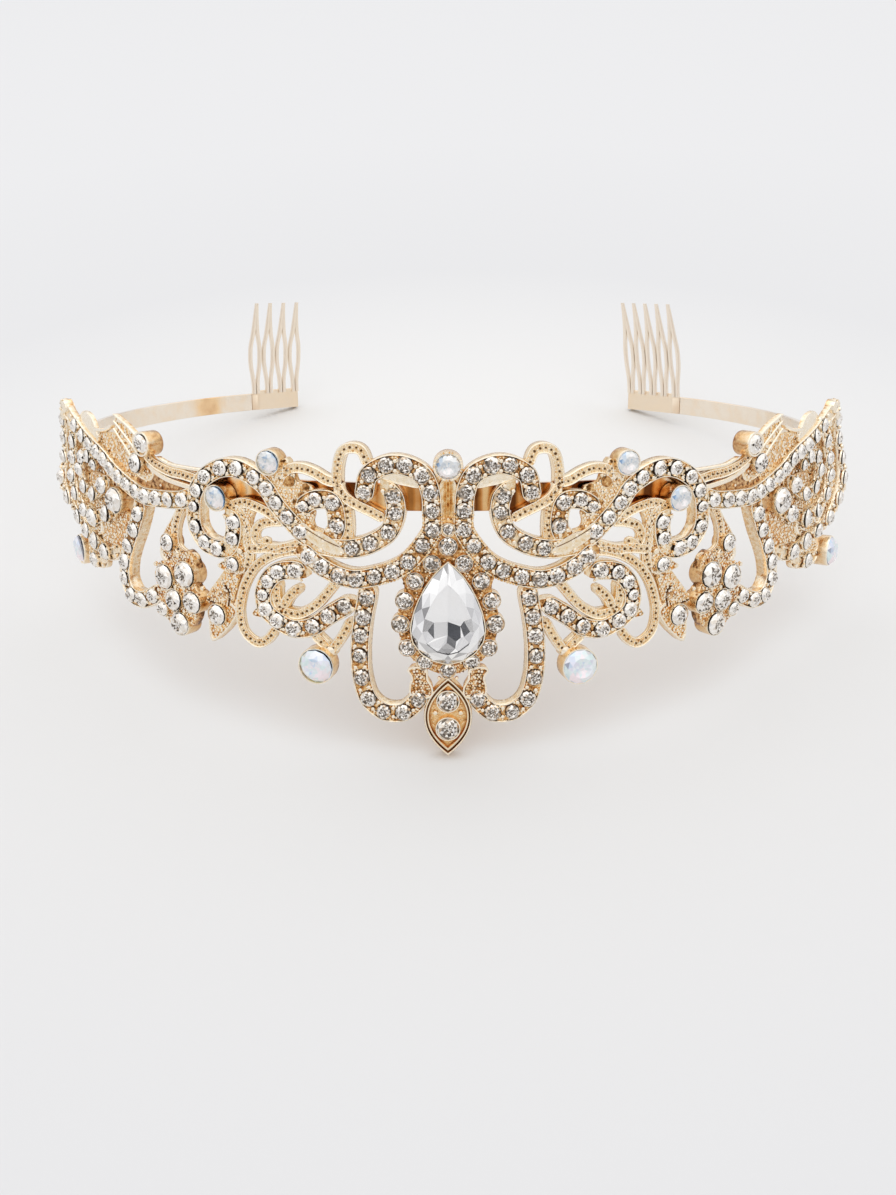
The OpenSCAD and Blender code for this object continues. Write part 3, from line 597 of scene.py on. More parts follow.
# Sets stones of given widths at their places, each turned and tilted a little by its seed
def stonesAt(rows, girdleOut, seed, play=False):
    rows = np.asarray(rows, float)
    shape, *faces = stoneTemplate()
    chance = np.random.default_rng(seed)
    n = len(rows)
    spin = chance.uniform(0, np.pi / 4, n)
    lean = np.radians(chance.normal(0, stoneShape["tilt"], (n, 2)))
    points = shape[None] * rows[:, 2, None, None]
    x = points[..., 0] * np.cos(spin)[:, None] - points[..., 1] * np.sin(spin)[:, None]
    y = points[..., 0] * np.sin(spin)[:, None] + points[..., 1] * np.cos(spin)[:, None]
    rim = slice(-2 * stoneShape["sides"] - 1, -stoneShape["sides"] - 1)
    far = np.abs(rows[:, :1])
    x[:, rim] -= np.sign(rows[:, :1]) * sparkle["rimShift"] * np.interp(far, *sparkle["shiftShare"])
    z = points[..., 2] + x * lean[:, :1] + y * lean[:, 1:] + np.broadcast_to(
        girdleOut + flare(rows[:, 0], rows[:, 1]), (n,))[:, None]
    a = rows[:, :1] / panel["face"]
    world = np.stack([x * np.cos(a) + z * np.sin(a), x * np.sin(a) - z * np.cos(a), rows[:, 1:2] + y], -1)
    middle = shape[faces[0]].mean(1)
    reach, around = np.hypot(middle[:, 0], middle[:, 1]), np.arctan2(middle[:, 1], middle[:, 0])
    if play:  # wide bands of the coating's own colours, with painted light and dark, instead of flecks
        flecks = (0.68 + 0.22 * np.sin(2 * around + chance.uniform(0, 6, (n, 1)) + 5 * reach)
                  - 0.2 * np.sin(around) + chance.normal(0, 0.17, (n, len(middle))))
    else:
        # a star of dark facets, painted reflections, which fades from 14 to 28 aside of the middle, most at
        # the stone's rim, and again at the wing's end
        light, wingEnd = np.clip((far - 14) / 14, 0, 1), np.clip((far - 60) / 6, 0, 1)
        fading = light * np.where(reach < 0.2, 0.16, np.where(reach < 0.3, 0.5, 0.85))
        dark = np.interp(reach, *sparkle["dark"]) * (1 - fading) * (1 - 0.4 * wingEnd)
        size = (n, len(middle))
        duller = np.where(reach > 0.3, 0.2 * light - 0.2, 0)
        flecks = np.where(chance.random(size) < dark, chance.uniform(0, 0.3, size),
                          chance.uniform(0.42, 1, size) + duller)
    wall = 0.2 - 0.2 * np.clip((far[:, 0] - 20) / 15, 0, 1)  # the walls are painted shadow beside each stone, darker towards the wings
    tone = np.concatenate([flecks.ravel(), np.repeat(wall, len(faces[1])), wall])
    return part(world.reshape(-1, 3), tiled(faces, n, len(shape)), 1.0, tone)


# Stones become one piece, whose facets stay flat
def setStones(name, rows, girdleOut, seed, nodes, foil=clearFoil, play=False):
    makePiece(name, [stonesAt(rows, girdleOut, seed, play)], [foil], nodes,
              smooth=False)


# A piece's name from its node's: arch_stones_left is archStonesLeft
def pieceName(node):
    first, *others = node.split("_")
    return first + "".join(word.capitalize() for word in others)


# Stone fields: the node, its ribbons, and the least width that is a node's stone
fields = {"arch_stones": (["arch"], 2.0), "wave_stones": (["wave", "ring"], 2.0),
          "loop_stones": (["loop"], 2.0), "scroll_stones": (["scroll"], 2.0),
          "wing_row_stones": (["wingRow"], 2.0), "wing_loop_stones": (["wingLoop"], 2.0),
          "wing_end_stones": (["wingCurl", "wingSpray", "wingEdge", "wingFoot"], 2.5)}
hands = {"left": -1, "right": 1}
fine = []
for seed, (node, (names, least)) in enumerate(fields.items()):
    rows = [[*row, panel["girdle"] + ribbons[name]["lift"], ribbons[name]["wider"]]
            for name in names for row in ribbons[name]["line"]]
    if node == "wing_end_stones":
        rows.append([*wingBig, settings["wingBig"]["girdle"], 1])
    kept = np.array([row for row in rows if row[2] >= least])
    fine += [row for row in rows if 0 < row[2] < least]
    for hand, sign in hands.items():
        placed = kept[:, :4] * np.array([sign, 1, 1, 1])
        placed[:, 2] *= kept[:, 4]
        setStones(pieceName(f"{node}_{hand}"), placed, placed[:, 3], 10 * seed + 2 + sign, [f"{node}_{hand}"])
for hand, sign in hands.items():
    for kind, rows in (("leaf", leafCups), ("flower", flower)):
        node = f"{kind}_stones_{hand}"
        setStones(pieceName(node), np.array(rows) * [sign, 1, 1], settings[kind]["girdle"], 90 + sign, [node])
    for name, row in rainbowCups.items():
        setStones(f"rainbow{name.capitalize()}{hand.capitalize()}", np.array([row]) * [sign, 1, 1],
                  settings["rainbow"]["girdle"], 60 + sign, [f"ab_{name}_stone_{hand}"],
                  rainbowFoil if name in ("drop", "wing") else mistFoil, play=True)
    setStones(pieceName(f"bezel_stone_{hand}"), np.array([bezelCup]) * [sign, 1, 1],
              settings["bezel"]["girdle"], 70 + sign, [f"bezel_stone_{hand}"])
setStones("rainbowTop", [topCup], settings["top"]["girdle"], 61, ["ab_top_stone"], mistFoil, play=True)
for label, row in marquiseStones.items():
    setStones(f"marquise{label.capitalize()}", [row], settings["marquise"]["girdle"], 80 + len(label),
              [f"marquise_{label}_stone"])
# The halo's three lowest stones are 0.4 wider than given; they and the centre's first are fine stones
haloStones = np.array([row for row in halo if row[2] > 0])
haloStones = np.vstack([haloStones, haloStones * [-1, 1, 1], [[0, -27.3, 1.9]]])
lowest = haloStones[:, 2] < 2
haloWider = [0, 0, 0.4] * lowest[:, None]
centreStones = np.array(centreCups + [[-x, y, width] for x, y, width in centreCups[-1:]])
tiny = centreStones[:, 2] < 2
setStones("haloStones", haloStones[~lowest], settings["halo"]["girdle"], 31, ["halo_stones"])
setStones("centreStones", centreStones[~tiny], settings["centre"]["girdle"], 33, ["center_stones"])
fineRows = np.array(fine)
fineRows = np.hstack([fineRows[:, :2], fineRows[:, 2:3] * fineRows[:, 4:], fineRows[:, 3:4]])
small = np.vstack([(haloStones + haloWider)[lowest], centreStones[tiny]])
fineRows = np.vstack([fineRows, fineRows * [-1, 1, 1, 1], raised(small, settings["fine"]["girdle"])])
setStones("fineStones", fineRows, fineRows[:, 3], 35, ())
print("stones set")

# The share of its length that is above its place, and its half widths, as shares, by the depth below the
# point
pear = {"place": [0, -19.15], "length": 15.2, "width": 10.7, "above": 0.545}
pearHalf = [[0, 0], [0.07, 0.22], [0.14, 0.40], [0.25, 0.61], [0.37, 0.78], [0.48, 0.90], [0.60, 0.985],
            [0.67, 1.0], [0.78, 0.95], [0.90, 0.71], [0.966, 0.39], [1, 0]]


# A pear with its point up: depth = (1 - cos a) / 2, and the half width that the table gives for it goes to
# the left or the right by the sign of sin a
def pearOutline(length, width, count, start=0.0):
    a = start + np.arange(count) * 2 * np.pi / count
    depth = (1 - np.cos(a)) / 2
    half = np.interp(depth, *np.array(pearHalf).T) * np.where(np.sin(a) < 0, 1, -1)
    return np.stack([width / 2 * half, length * (pear["above"] - depth)], 1)


# The pear stone: a clear table, two rows of cut crown facets, and a shallow foil back whose facets are
# listed: places are [across, depth below the pear's tip, depth behind the girdle], faces name places (a
# number from 0 to 15 is a point of the rim) and a tone
# The tones of the pear's back facets are painted reflections: dark and light facets for what the stone
# reflects
pearCut = {"crown": 0.95, "girdle": 74.75, "table": 0.70, "shoulder": 0.86, "rim": 0.75,
           "places": {"a": [-2.05, 8.8, 0.25], "b": [-0.05, 8.7, 0.32], "c": [2.3, 8.6, 0.25],
                      "d": [-2.95, 10.1, 0.25], "e": [-2.0, 11.3, 0.32], "f": [-0.05, 10.8, 0.48],
                      "g": [1.8, 9.4, 0.32], "h": [3.2, 10.2, 0.25], "i": [1.85, 11.1, 0.3],
                      "j": [1.2, 11.7, 0.38], "k": [-0.2, 11.9, 0.4], "l": [1.05, 12.8, 0.25],
                      "m": [-1.1, 12.8, 0.25], "n": [2.3, 11.0, 0.28]},
           "faces": [[[0, 1, 2, 3, 4, "a", "b"], 0.95], [[0, "b", "c", 12, 13, 14, 15], 0.88],
                     [[4, 5, "d", "a"], 0.36], [["a", "d", "e"], 0.1], [["a", "e", "f", "b"], 0.54],
                     [["b", "f", "j", "i", "g"], 0.0], [["b", "g", "c"], 0.9], [["g", "i", "n"], 0.9],
                     [["c", "g", "n", "h"], 0.06], [["c", "h", 11, 12], 0.42], [["f", "k", "l", "j"], 0.12],
                     [["d", 5, 6, "e"], 0.75], [["e", 6, 7, "m", "k", "f"], 1.0],
                     [["k", "m", 7, 8, "l"], 0.33], [["j", "l", 8, 9, 10, "n", "i"], 0.95],
                     [["n", 10, 11, "h"], 0.55]]}


def pearStone():
    n = 16
    step = np.pi / n
    size = np.array([pear["length"], pear["width"]])
    table = pearOutline(*size * pearCut["table"], n) - [0, 0.4]
    shoulder = pearOutline(*size * pearCut["shoulder"], n, step) - [0, 0.2]
    girdle = pearOutline(*size, n)
    rim = pearOutline(*size * pearCut["rim"], n) - [0, 0.35]
    g = pearCut["girdle"]
    heights = [g + pearCut["crown"], g + 0.6 * pearCut["crown"], g, g - 0.15]
    rings = [raised(r, h) for r, h in zip([table, shoulder, girdle, rim], heights)]
    tipUp = size[0] * pear["above"]
    inner = [[x, tipUp - down, g - deep] for x, down, deep in pearCut["places"].values()]
    points = np.vstack(rings + [inner])
    j, k = roundRing(n)
    t, s, e = j, n + j, 2 * n + j  # corners of the table, the shoulder and the girdle
    tk, sk, ek = k, n + k, 2 * n + k
    crown = np.concatenate([np.stack([t, s, tk], -1), np.stack([tk, s, sk], -1), np.stack([s, e, ek], -1),
                            np.stack([s, ek, sk], -1)])
    letters = {name: 4 * n + k for k, name in enumerate(pearCut["places"])}
    back = [np.array([[letters.get(c, 3 * n + c if isinstance(c, int) else 0) for c in corners]])
            for corners, _ in pearCut["faces"]]
    below = np.stack([e, 3 * n + j, 3 * n + k, ek], -1)
    # the crown's facets get random tones: painted glints and painted dark reflections
    crownTones = np.where(rng.random(len(crown)) < 0.3, rng.uniform(0.3, 0.5, len(crown)),
                          rng.uniform(0.6, 1, len(crown)))
    tones = np.concatenate([[0.9], crownTones, rng.uniform(0.3, 1, n),
                            [tone for _, tone in pearCut["faces"]]])
    finish = np.concatenate([[0], np.ones(len(crown) + n + len(back), int)])
    return part(rigid(pear["place"], points), [t[None], crown, below] + back, 1.0, tones, finish)


makePiece("pearStone", [pearStone()], [clearCrown, pearFoil], ["pear_stone"], smooth=False)


# A pointed oval: at the share t of the half length its half width is 1 - |t| ** 2.1
def ovalOutline(length, width, count):
    a = np.arange(count) * 2 * np.pi / count
    t = np.cos(a)
    return np.stack([-width / 2 * np.sign(np.sin(a)) * (1 - np.abs(t)**2.1), length / 2 * t], 1)


# The casting. Sections of its ribbons: width, how far the crest and the bed lie below the panel's, the bed's
# tone, which is painted shade in the bed, and the layer of the back
ribbonSections = {"plain": (2.9, 0, 0, 0.18, "back"), "pale": (2.9, 0, 0, 0.55, "back"),
                  "wing": (2.9, 0, 0, 0.62, "wingBack"), "slim": (2.3, 0.12, 0.1, 0.62, "wingBack")}
# Grains on the bed: two sizes in the gaps between neighbouring stones, and fine rows that keep clear of
# the stones
bedGrains = {"aside": 0.72, "large": 0.36, "medium": 0.24, "rows": (-0.98, -0.42, 0.42, 0.98),
             "pitch": 0.42, "clear": 0.15}
casting, grains, collets = [], [], []
for name, ribbon in ribbons.items():
    width, lower, deeper, bedTone, back = ribbonSections[ribbon["section"]]
    section = channel(width, panel["crest"] - lower, panel["bed"] - deeper, panel["rim"], bedTone,
                      panel[back])
    lift, spare = ribbon["lift"], 0.11 if ribbon["section"] == "plain" else 0.05
    for rows in bothSides(ribbon["line"]):
        line = smoothLine(rows, panel["step"])
        casting.append(sweep(line, section, lift, narrow=ribbon["ends"]))
        at = rows[:, :2]
        middles, along = (at[1:] + at[:-1]) / 2, at[1:] - at[:-1]
        normals = leftOf(at)
        sides = (normals[1:] + normals[:-1]) / 2
        for shift in (-bedGrains["aside"], bedGrains["aside"]):
            grains.append(domes(middles + sides * shift, panel["bed"] + 0.24 + lift, bedGrains["large"]))
            grains.append(domes(middles + sides * shift * 1.3 + along * 0.14, panel["bed"] + 0.1 + lift,
                                bedGrains["medium"], 0.8, 5))
        held = rows[rows[:, 2] > 0]
        if not name.startswith("wing"):
            chance = np.random.default_rng(len(casting))
            for shift in bedGrains["rows"]:
                spots = alongLine(line, bedGrains["pitch"], shift, 2.5 if max(ribbon["ends"]) > 0 else 0.8)
                spots = clearOf(spots, held, bedGrains["clear"])
                grains.append(strewn(spots, panel["bed"] + 0.04 + lift, (0.12, 0.22), (0.1, 0.95), chance))
        casting.append(shadeDiscs(held, panel["bed"] + 0.03 + lift, spare))
        if name.startswith("wing"):  # these stones have low cups of their own
            collets += [cup(row, cupRows(row[2], 73.75, panel["girdle"] - 0.12 + lift, 73.7, 0.16), 16)
                        for row in held]
print("ribbons carried")

# Milgrain strips, as lines of [across, up]
strips = [
    [[16.2, -0.4], [16.1, 2.3], [15.4, 4.6], [13.9, 5.3], [12.4, 4.8], [11.6, 2.8]],  # top loop
    [[16.3, 0.2], [15.0, -1.8], [13.2, -2.9], [11.2, -3.8], [9.2, -4.8]],
    [[16.4, -0.2], [15.2, -2.0], [14.7, -4.6], [14.7, -7.4], [15.4, -8.8]],
    [[16.2, 0.2], [17.9, 0.6], [19.6, 1.5], [21.6, 2.1], [23.5, 1.9], [24.8, 0.9], [25.6, -0.8]],
    [[24.3, 3.4], [24.3, 1.4]],
    [[34.2, -4.3], [31.8, -3.6], [29.5, -3.9], [27.2, -4.8], [25.2, -6.0]],  # between wave and long loop
    [[24.6, -5.9], [27.0, -6.1], [28.9, -6.8], [29.7, -8.2], [29.2, -9.8]],
    [[31.2, -10.6], [28.2, -10.1], [26.0, -10.1], [24.0, -9.6], [22.0, -8.9]],
    [[29.4, -9.9], [27.2, -8.8]],
    [[33.6, -4.4], [32.0, -5.2], [31.1, -7.2], [31.0, -9.4], [30.7, -11.4], [31.4, -13.4]],
    [[21.3, -10.1], [24.0, -10.2], [27.0, -11.2], [29.7, -13.0], [31.6, -15.6], [32.7, -18.5],
     [33.0, -21.0], [32.3, -23.6], [30.1, -25.0], [28.1, -24.1], [26.8, -22.4]],  # long loop
    [[16.6, -14.3], [18.0, -16.0], [19.6, -17.8], [21.2, -19.0], [23.0, -19.8], [25.4, -19.6]],
    [[25.2, -19.0], [24.7, -17.7], [23.6, -16.5], [22.4, -15.6]],
    [[26.3, -15.0], [26.5, -17.3], [25.8, -19.4]],
    [[20.6, -22.6], [19.2, -23.8], [18.0, -24.8]],  # arms of the drop stone
    [[14.5, -20.0], [15.8, -22.4], [17.6, -25.0]],
    [[39.6, -0.9], [42.5, -0.4], [46.0, -0.1], [49.4, 0.9], [51.6, 2.2]],  # stem
    [[43.2, -4.9], [44.4, -6.8], [45.2, -9.1], [45.2, -11.2], [44.2, -12.4], [42.4, -13.0],
     [40.8, -13.0]],  # round the curl
]
# Where the face turns away from the front, from 27 aside, they are thin. pits and grains are pitches
milgrain = {"width": 1.6, "crest": 73.95, "bed": 73.84, "rim": 0.2, "tone": 0.5, "thinFrom": 27,
            "thinBack": 73.1, "pits": 0.85, "pitWidths": (0.26, 0.42), "grains": 0.42, "aside": 0.4}
stripShape, thinStrip = (channel(milgrain["width"], milgrain["crest"], milgrain["bed"], milgrain["rim"],
                                 milgrain["tone"], back) for back in (panel["back"], milgrain["thinBack"]))
beads = []
for table in strips:
    for rows in bothSides(table):
        line = smoothLine(rows, panel["step"])
        beads.append(sweep(line, thinStrip if abs(line[:, 0]).mean() > milgrain["thinFrom"] else stripShape))
        chance = np.random.default_rng(len(beads))
        spots = alongLine(line, milgrain["pits"])
        spots = spots + chance.normal(0, 0.06, spots.shape)
        pits = raised(spots, chance.uniform(*milgrain["pitWidths"], len(spots)))
        # the pits are dark discs: painted shade in the milgrain's hollows
        beads += [domes((spots[1:] + spots[:-1]) / 2, 73.86, 0.2, 0.75, 5), shadeDiscs(pits, 73.92, 0.0, 7, -0.4)]
        for shift in (-milgrain["aside"], milgrain["aside"]):
            spots = alongLine(line, milgrain["grains"], shift)
            beads.append(strewn(spots, milgrain["bed"], (0.1, 0.2), (0.2, 0.95), chance))


# A flat plate: its smoothed outline, turned counter-clockwise, stacked from the back to the front
def plate(outline, rows):
    line = smoothLine(outline, 0.45, closed=True)
    area = np.sum(line[:, 0] * np.roll(line[:, 1], -1) - line[:, 1] * np.roll(line[:, 0], -1))
    return stacked(line if area > 0 else line[::-1], line.mean(0), rows)


# The same plate on both sides
def plateTwice(outline, rows):
    return [plate(line, rows) for line in bothSides(outline)]


# A plate and its grains on both sides
def grainedPlate(outline, rows, spots, foot, sizes, tones, sides):
    for side, line in zip((1, -1), bothSides(outline)):
        casting.append(plate(line, rows))
        grains.append(domes(spots * [side, 1], foot, sizes, tones, sides))


# Smooth plates and granulated webs, as outlines of [across, up]
plates = [
    [[43.2, -4.9], [44.4, -5.4], [46.0, -7.4], [48.2, -10.2], [49.2, -13.6], [47.0, -15.2], [44.2, -14.2],
     [45.2, -12.0], [45.3, -9.0]],  # feather
    [[34.2, -19.4], [36.2, -18.6], [38.8, -20.4], [39.2, -23.4], [38.8, -26.0], [36.6, -24.6],
     [34.8, -22.8], [33.4, -20.6]],  # leaf below the web
    [[31.8, -12.3], [33.4, -11.5], [35.0, -12.4], [37.0, -13.7], [34.3, -14.6], [31.8, -14.2]],
    [[28.6, -18.4], [30.9, -20.6], [28.4, -20.7]],
    [[68.2, -9.6], [74.0, -8.6], [76.6, -10.4], [73.4, -13.2], [69.4, -13.8], [66.6, -12.4]],
    [[67.4, -15.0], [73.0, -14.2], [75.8, -16.8], [72.0, -18.0], [67.8, -17.6]],
]
webs = {
    "leafWeb": [[29.6, -3.8], [33.2, -4.2], [33.0, -7.0], [32.6, -10.0], [34.6, -11.6], [35.6, -12.6],
        [35.2, -14.4], [36.6, -15.8], [38.8, -18.0], [39.2, -19.6], [36.4, -19.6], [34.2, -18.8],
        [33.0, -16.0], [31.6, -13.0], [30.6, -9.8], [30.4, -6.6]],
    "flowerGround": [[41.2, -12.9], [42.8, -12.0], [45.4, -13.6], [49.0, -15.0], [49.6, -19.4],
        [49.0, -22.6], [44.4, -25.2], [41.2, -22.8], [40.5, -18.6], [41.0, -17.0], [40.6, -14.8]],
    "aboveRing": [[26.4, 3.2], [24.1, 1.6], [22.7, 1.2], [22.2, 0.1], [20.0, -0.6], [20.6, -1.8],
        [21.8, -3.4], [22.9, -4.8], [24.9, -3.6], [26.2, -1.4], [27.6, 0.6]],
    "insideRing": [[22.6, -4.9], [20.8, -4.0], [19.8, -4.2], [20.1, -5.7], [19.4, -6.9], [18.2, -7.2],
        [20.2, -7.5], [21.6, -6.2]],
}
# Their sections, the pitch and margin of their grains, and the grains' foot and sizes. A few of the webs'
# grains are dark, and the ground of the flower is raised
plateLook = {"rows": [[1.0, panel["back"], 0.2], [1.0, 73.6, 0.75], [0.96, 73.85, 1.0], [0.86, 73.85, 0.95],
                      [0.80, 73.5, 0.35], [0.45, 73.62, 0.6], [0.1, 73.7, 0.8]],
             "pitch": 0.56, "margin": 0.3, "foot": 73.66, "sizes": (0.2, 0.3), "tone": 0.95}
webLook = {"rows": [[1.0, 72.8, 0.1], [1.0, 73.6, 0.5], [0.95, 73.78, 0.75], [0.9, 73.74, 0.52],
                    [0.4, 73.74, 0.46]],
           "pitch": 0.47, "margin": 0.15, "foot": 73.8, "sizes": (0.16, 0.32), "tones": (0.7, 1.05),
           "darkShare": 0.1, "darkTone": 0.2, "rise": 0.68}
# Painted shade in the open hollows of the web above the ring: dark discs put there
hollows = np.array([[23.6, 0.1, 1.7], [21.0, -0.6, 1.1], [21.7, -1.9, 1.2], [22.6, -3.0, 1.1]])
for seed, outline in enumerate(plates + list(webs.values())):
    chance = np.random.default_rng(seed)
    look = plateLook if seed < len(plates) else webLook
    spots = clearOf(honeycomb(outline, look["pitch"], seed, look["margin"]), hollows, 0.1)
    sizes = chance.uniform(*look["sizes"], len(spots))
    tones = look.get("tone")
    if look is webLook:
        tones = np.where(chance.random(len(spots)) < look["darkShare"], look["darkTone"],
                         chance.uniform(*look["tones"], len(spots)))
    rise = webLook["rise"] if outline is webs["flowerGround"] else 0
    rows = [[a, b + rise * (b > 73), c - 0.3 * rise] for a, b, c in look["rows"]]
    grainedPlate(outline, rows, spots, rise + look["foot"], sizes, tones, 5)

foldLeaf = [[14.9, -9.9], [16.2, -8.3], [18.0, -7.2], [20.0, -6.6], [21.6, -5.5], [22.2, -6.6], [20.8, -8.2],
            [18.6, -9.5], [16.6, -10.2]]
casting += plateTwice(foldLeaf, [[1.0, panel["back"], 0.3], [1.0, 74.2, 0.6], [0.94, 74.42, 0.95],
                                 [0.6, 74.46, 0.62], [0.1, 74.5, 0.7]])
casting += [shadeDiscs(rows, 73.82, 0, 14, 0.12) for rows in bothSides(hollows)]

# Where the loop's hook meets the marquise: a grained plate with a rim
knob = [[5.9, -27.3], [5.4, -26.9], [4.2, -26.8], [3.2, -27.2], [3.1, -28.6], [2.4, -29.9], [2.5, -31.2],
        [3.8, -31.5], [5.5, -31.0], [5.6, -29.6], [5.3, -28.6], [5.5, -27.9]]
knobRim = mirrored([[0.17, 74.0, 0.3], [0.13, 74.42, 0.95]])
spots = honeycomb(knob, 0.42, 50, 0.25)
tones = np.random.default_rng(50).uniform(0.1, 1.0, len(spots))
knobRows = [[1.0, panel["back"], 0.2], [1.0, 74.1, 0.3], [0.97, 74.16, 0.1], [0.3, 74.16, 0.05]]
for side, rows in zip((1, -1), bothSides(knob)):
    casting += [plate(rows, knobRows), sweep(smoothLine(rows, 0.3, closed=True), knobRim, closed=True)]
    grains.append(domes(spots * [side, 1], 74.2, 0.14 + 0.12 * tones, tones, 6))

wingLobe = [[65.4, 2.2], [65.9, 5.0], [67.6, 6.7], [70.4, 7.0], [72.4, 6.0], [72.6, 4.2]]
casting += plateTwice(wingLobe, [[1.0, panel["wingBack"], 0.4], [1.0, 73.5, 0.6], [0.9, 73.8, 0.9],
                                 [0.5, 73.95, 0.9]])
# Grains on the marquise's ground, clear of its two stones
inner = ovalOutline(marquise["length"] * 0.72, marquise["width"] * 0.72, 40) + marquise["place"]
spots = clearOf(honeycomb(inner, 0.5, 5), np.array(list(marquiseStones.values())), 0.35)
grains.append(domes(spots, 73.82, 0.2, 0.42, 5))

# Thin plain bars: half width, height, then [across, up]
bars = [[0.42, 73.95, [[40.4, -2.3], [43.5, -1.9], [46.4, -1.4], [48.8, -0.6], [51.0, 0.6]]],
        [0.28, 73.85, [[38.8, 0.6], [42.4, 0.7], [45.6, 0.9], [48.6, 1.8]]],
        [0.24, 74.1, [[50.8, 1.6], [52.4, 4.0], [55.2, 5.9], [59.0, 7.5]]],
        [0.2, 73.9, [[52.0, 0.6], [54.4, 2.9], [57.0, 4.8], [59.4, 6.4]]],
        [0.2, 73.9, [[53.6, -0.4], [55.8, 2.0], [57.8, 3.7], [59.6, 5.2]]],
        [0.3, 73.95, [[60.0, 5.6], [63.0, 4.6], [66.6, 4.4]]]]
for half, top, line in bars:
    barShape = mirrored([[half, panel["wingBack"], 0.3], [half, top - 0.15, 0.8], [half - 0.12, top, 1.0]])
    casting += [sweep(smoothLine(rows, 0.5), barShape) for rows in bothSides(line)]

# Plates of the wings: the section's tone, a shift of its painted shade and light, its height against the
# others, one in how many grains is kept, and the outline
wingPlates = [
    [0.35, 0, 1, [[49.8, -1.2], [51.2, 2.0], [54.0, 4.8], [58.8, 7.2], [59.6, 5.6], [57.4, 3.0],
      [55.6, 0.6], [54.2, -1.6], [51.8, -2.4]]],  # leaf behind the bezel
    [-0.05, 0, 9, [[41.4, -3.0], [46.0, -1.9], [50.0, -0.6], [53.8, 1.6], [55.4, 0.2], [55.0, -2.2],
      [52.0, -3.8], [46.0, -3.6]]],  # recess above the row, smooth and in painted shade
    [0.24, 0, 1, [[53.2, 1.2], [57.8, 4.2], [62.0, 4.4], [66.6, 4.0], [62.0, 0.6], [57.0, -2.4],
      [54.6, -2.6]]],
    [0.06, 0, 1, [[56.4, -8.6], [60.2, -7.4], [64.0, -7.6], [66.8, -8.4], [68.0, -12.4], [66.0, -15.4],
      [62.0, -15.4], [59.4, -13.2]]],
    [0.16, 0, 1, [[73.6, 3.4], [75.6, 0.2], [80.6, 0.4], [81.0, 5.0], [78.4, 8.2], [75.8, 6.6]]],
    [0.08, 0, 1, [[61.4, -3.4], [66.4, -2.6], [70.0, -3.2], [70.6, -5.0], [67.4, -6.0], [64.0, -5.6]]],
    [0.1, -0.3, 1, [[58.4, -4.2], [66.0, -0.8], [74.0, 2.6], [80.6, 5.4], [81.6, 0.0], [81.0, -6.0],
      [78.2, -11.6], [74.0, -14.2], [70.4, -17.4], [66.4, -17.0], [62.0, -15.0],
      [59.6, -11.0]]],  # ground of the wing's end
]
wingRows = [[1.0, 73.0, 0.1], [1.0, 73.5, 0.3], [0.95, 73.6, 0.4], [0.88, 73.45, 0.2], [0.4, 73.45, 0.2],
            [0.1, 73.45, 0.2]]
for seed, (tone, low, every, outline) in enumerate(wingPlates):
    spots = honeycomb(outline, 0.66, seed + 20, 0.3)[::every]
    sizes = np.random.default_rng(seed + 20).uniform(0.12, 0.4, len(spots))
    rows = [[a, b + low, c + tone] for a, b, c in wingRows]
    grainedPlate(outline, rows, spots, 73.5 + low, sizes, 0.4 + 1.4 * sizes, 6)  # large grains are painted paler, a painted highlight

# Painted shade along creases, as dark strips: lift, then [across, up]
creases = [[0, [[15.8, -9.0], [18.2, -8.0], [21.2, -6.4]]],  # in the folded leaf
           [-0.5, [[35.9, -16.4], [34.9, -17.3], [34.8, -18.5], [35.1, -19.8]]],
           [-0.5, [[36.3, -19.7], [37.9, -19.6], [39.3, -19.2]]]]
creaseShape = mirrored([[0.09, 74.3, -0.2], [0.05, 74.54, -0.2]])
for lift, line in creases:
    casting += [sweep(smoothLine(rows, 0.4), creaseShape, lift) for rows in bothSides(line)]

# The ground between the pear and the stones round it, and the grains on it, outside the pear's oval
haloGround = [[0, -4.4], [2.0, -5.4], [3.0, -8.0], [5.0, -10.6], [6.8, -12.6], [6.4, -14.8], [7.1, -17.0],
              [7.6, -20.2], [7.0, -22.7], [6.2, -24.6], [4.4, -26.4], [1.8, -27.7], [0, -28.0]]
pearOval = {"middle": -19.2, "half": (5.0, 6.6)}
ground = smoothLine(haloGround + [[-x, y] for x, y in haloGround[-2:0:-1]], 0.5, closed=True)
casting.append(stacked(ground[::-1], np.array([0, -17.0]), [[1.0, 72.3, 0.1], [1.0, 73.8, 0.15],
                                                            [0.97, 73.95, 0.2], [0.5, 73.95, 0.05]]))
spots = honeycomb(ground, 0.42, 40, 0.15)
spots = spots[np.linalg.norm((spots - [0, pearOval["middle"]]) / pearOval["half"], axis=1) > 1]
spots = clearOf(spots, np.vstack([haloStones, centreStones, ribbons["arch"]["line"]]), 0.3)
grains.append(strewn(spots, 73.98, (0.13, 0.25), (-0.05, 0.75), rng))
for rows in bothSides(ribbons["arch"]["line"][7:13]):  # the arches' rims beside the pear are beaded
    edge = smoothLine(rows, 0.3)
    for shift in (-1.3, 1.3):
        rim = alongLine(edge, 0.42, shift)
        grains.append(strewn(rim, 74.36, (0.17, 0.27), (0.1, 0.7), rng, 6))

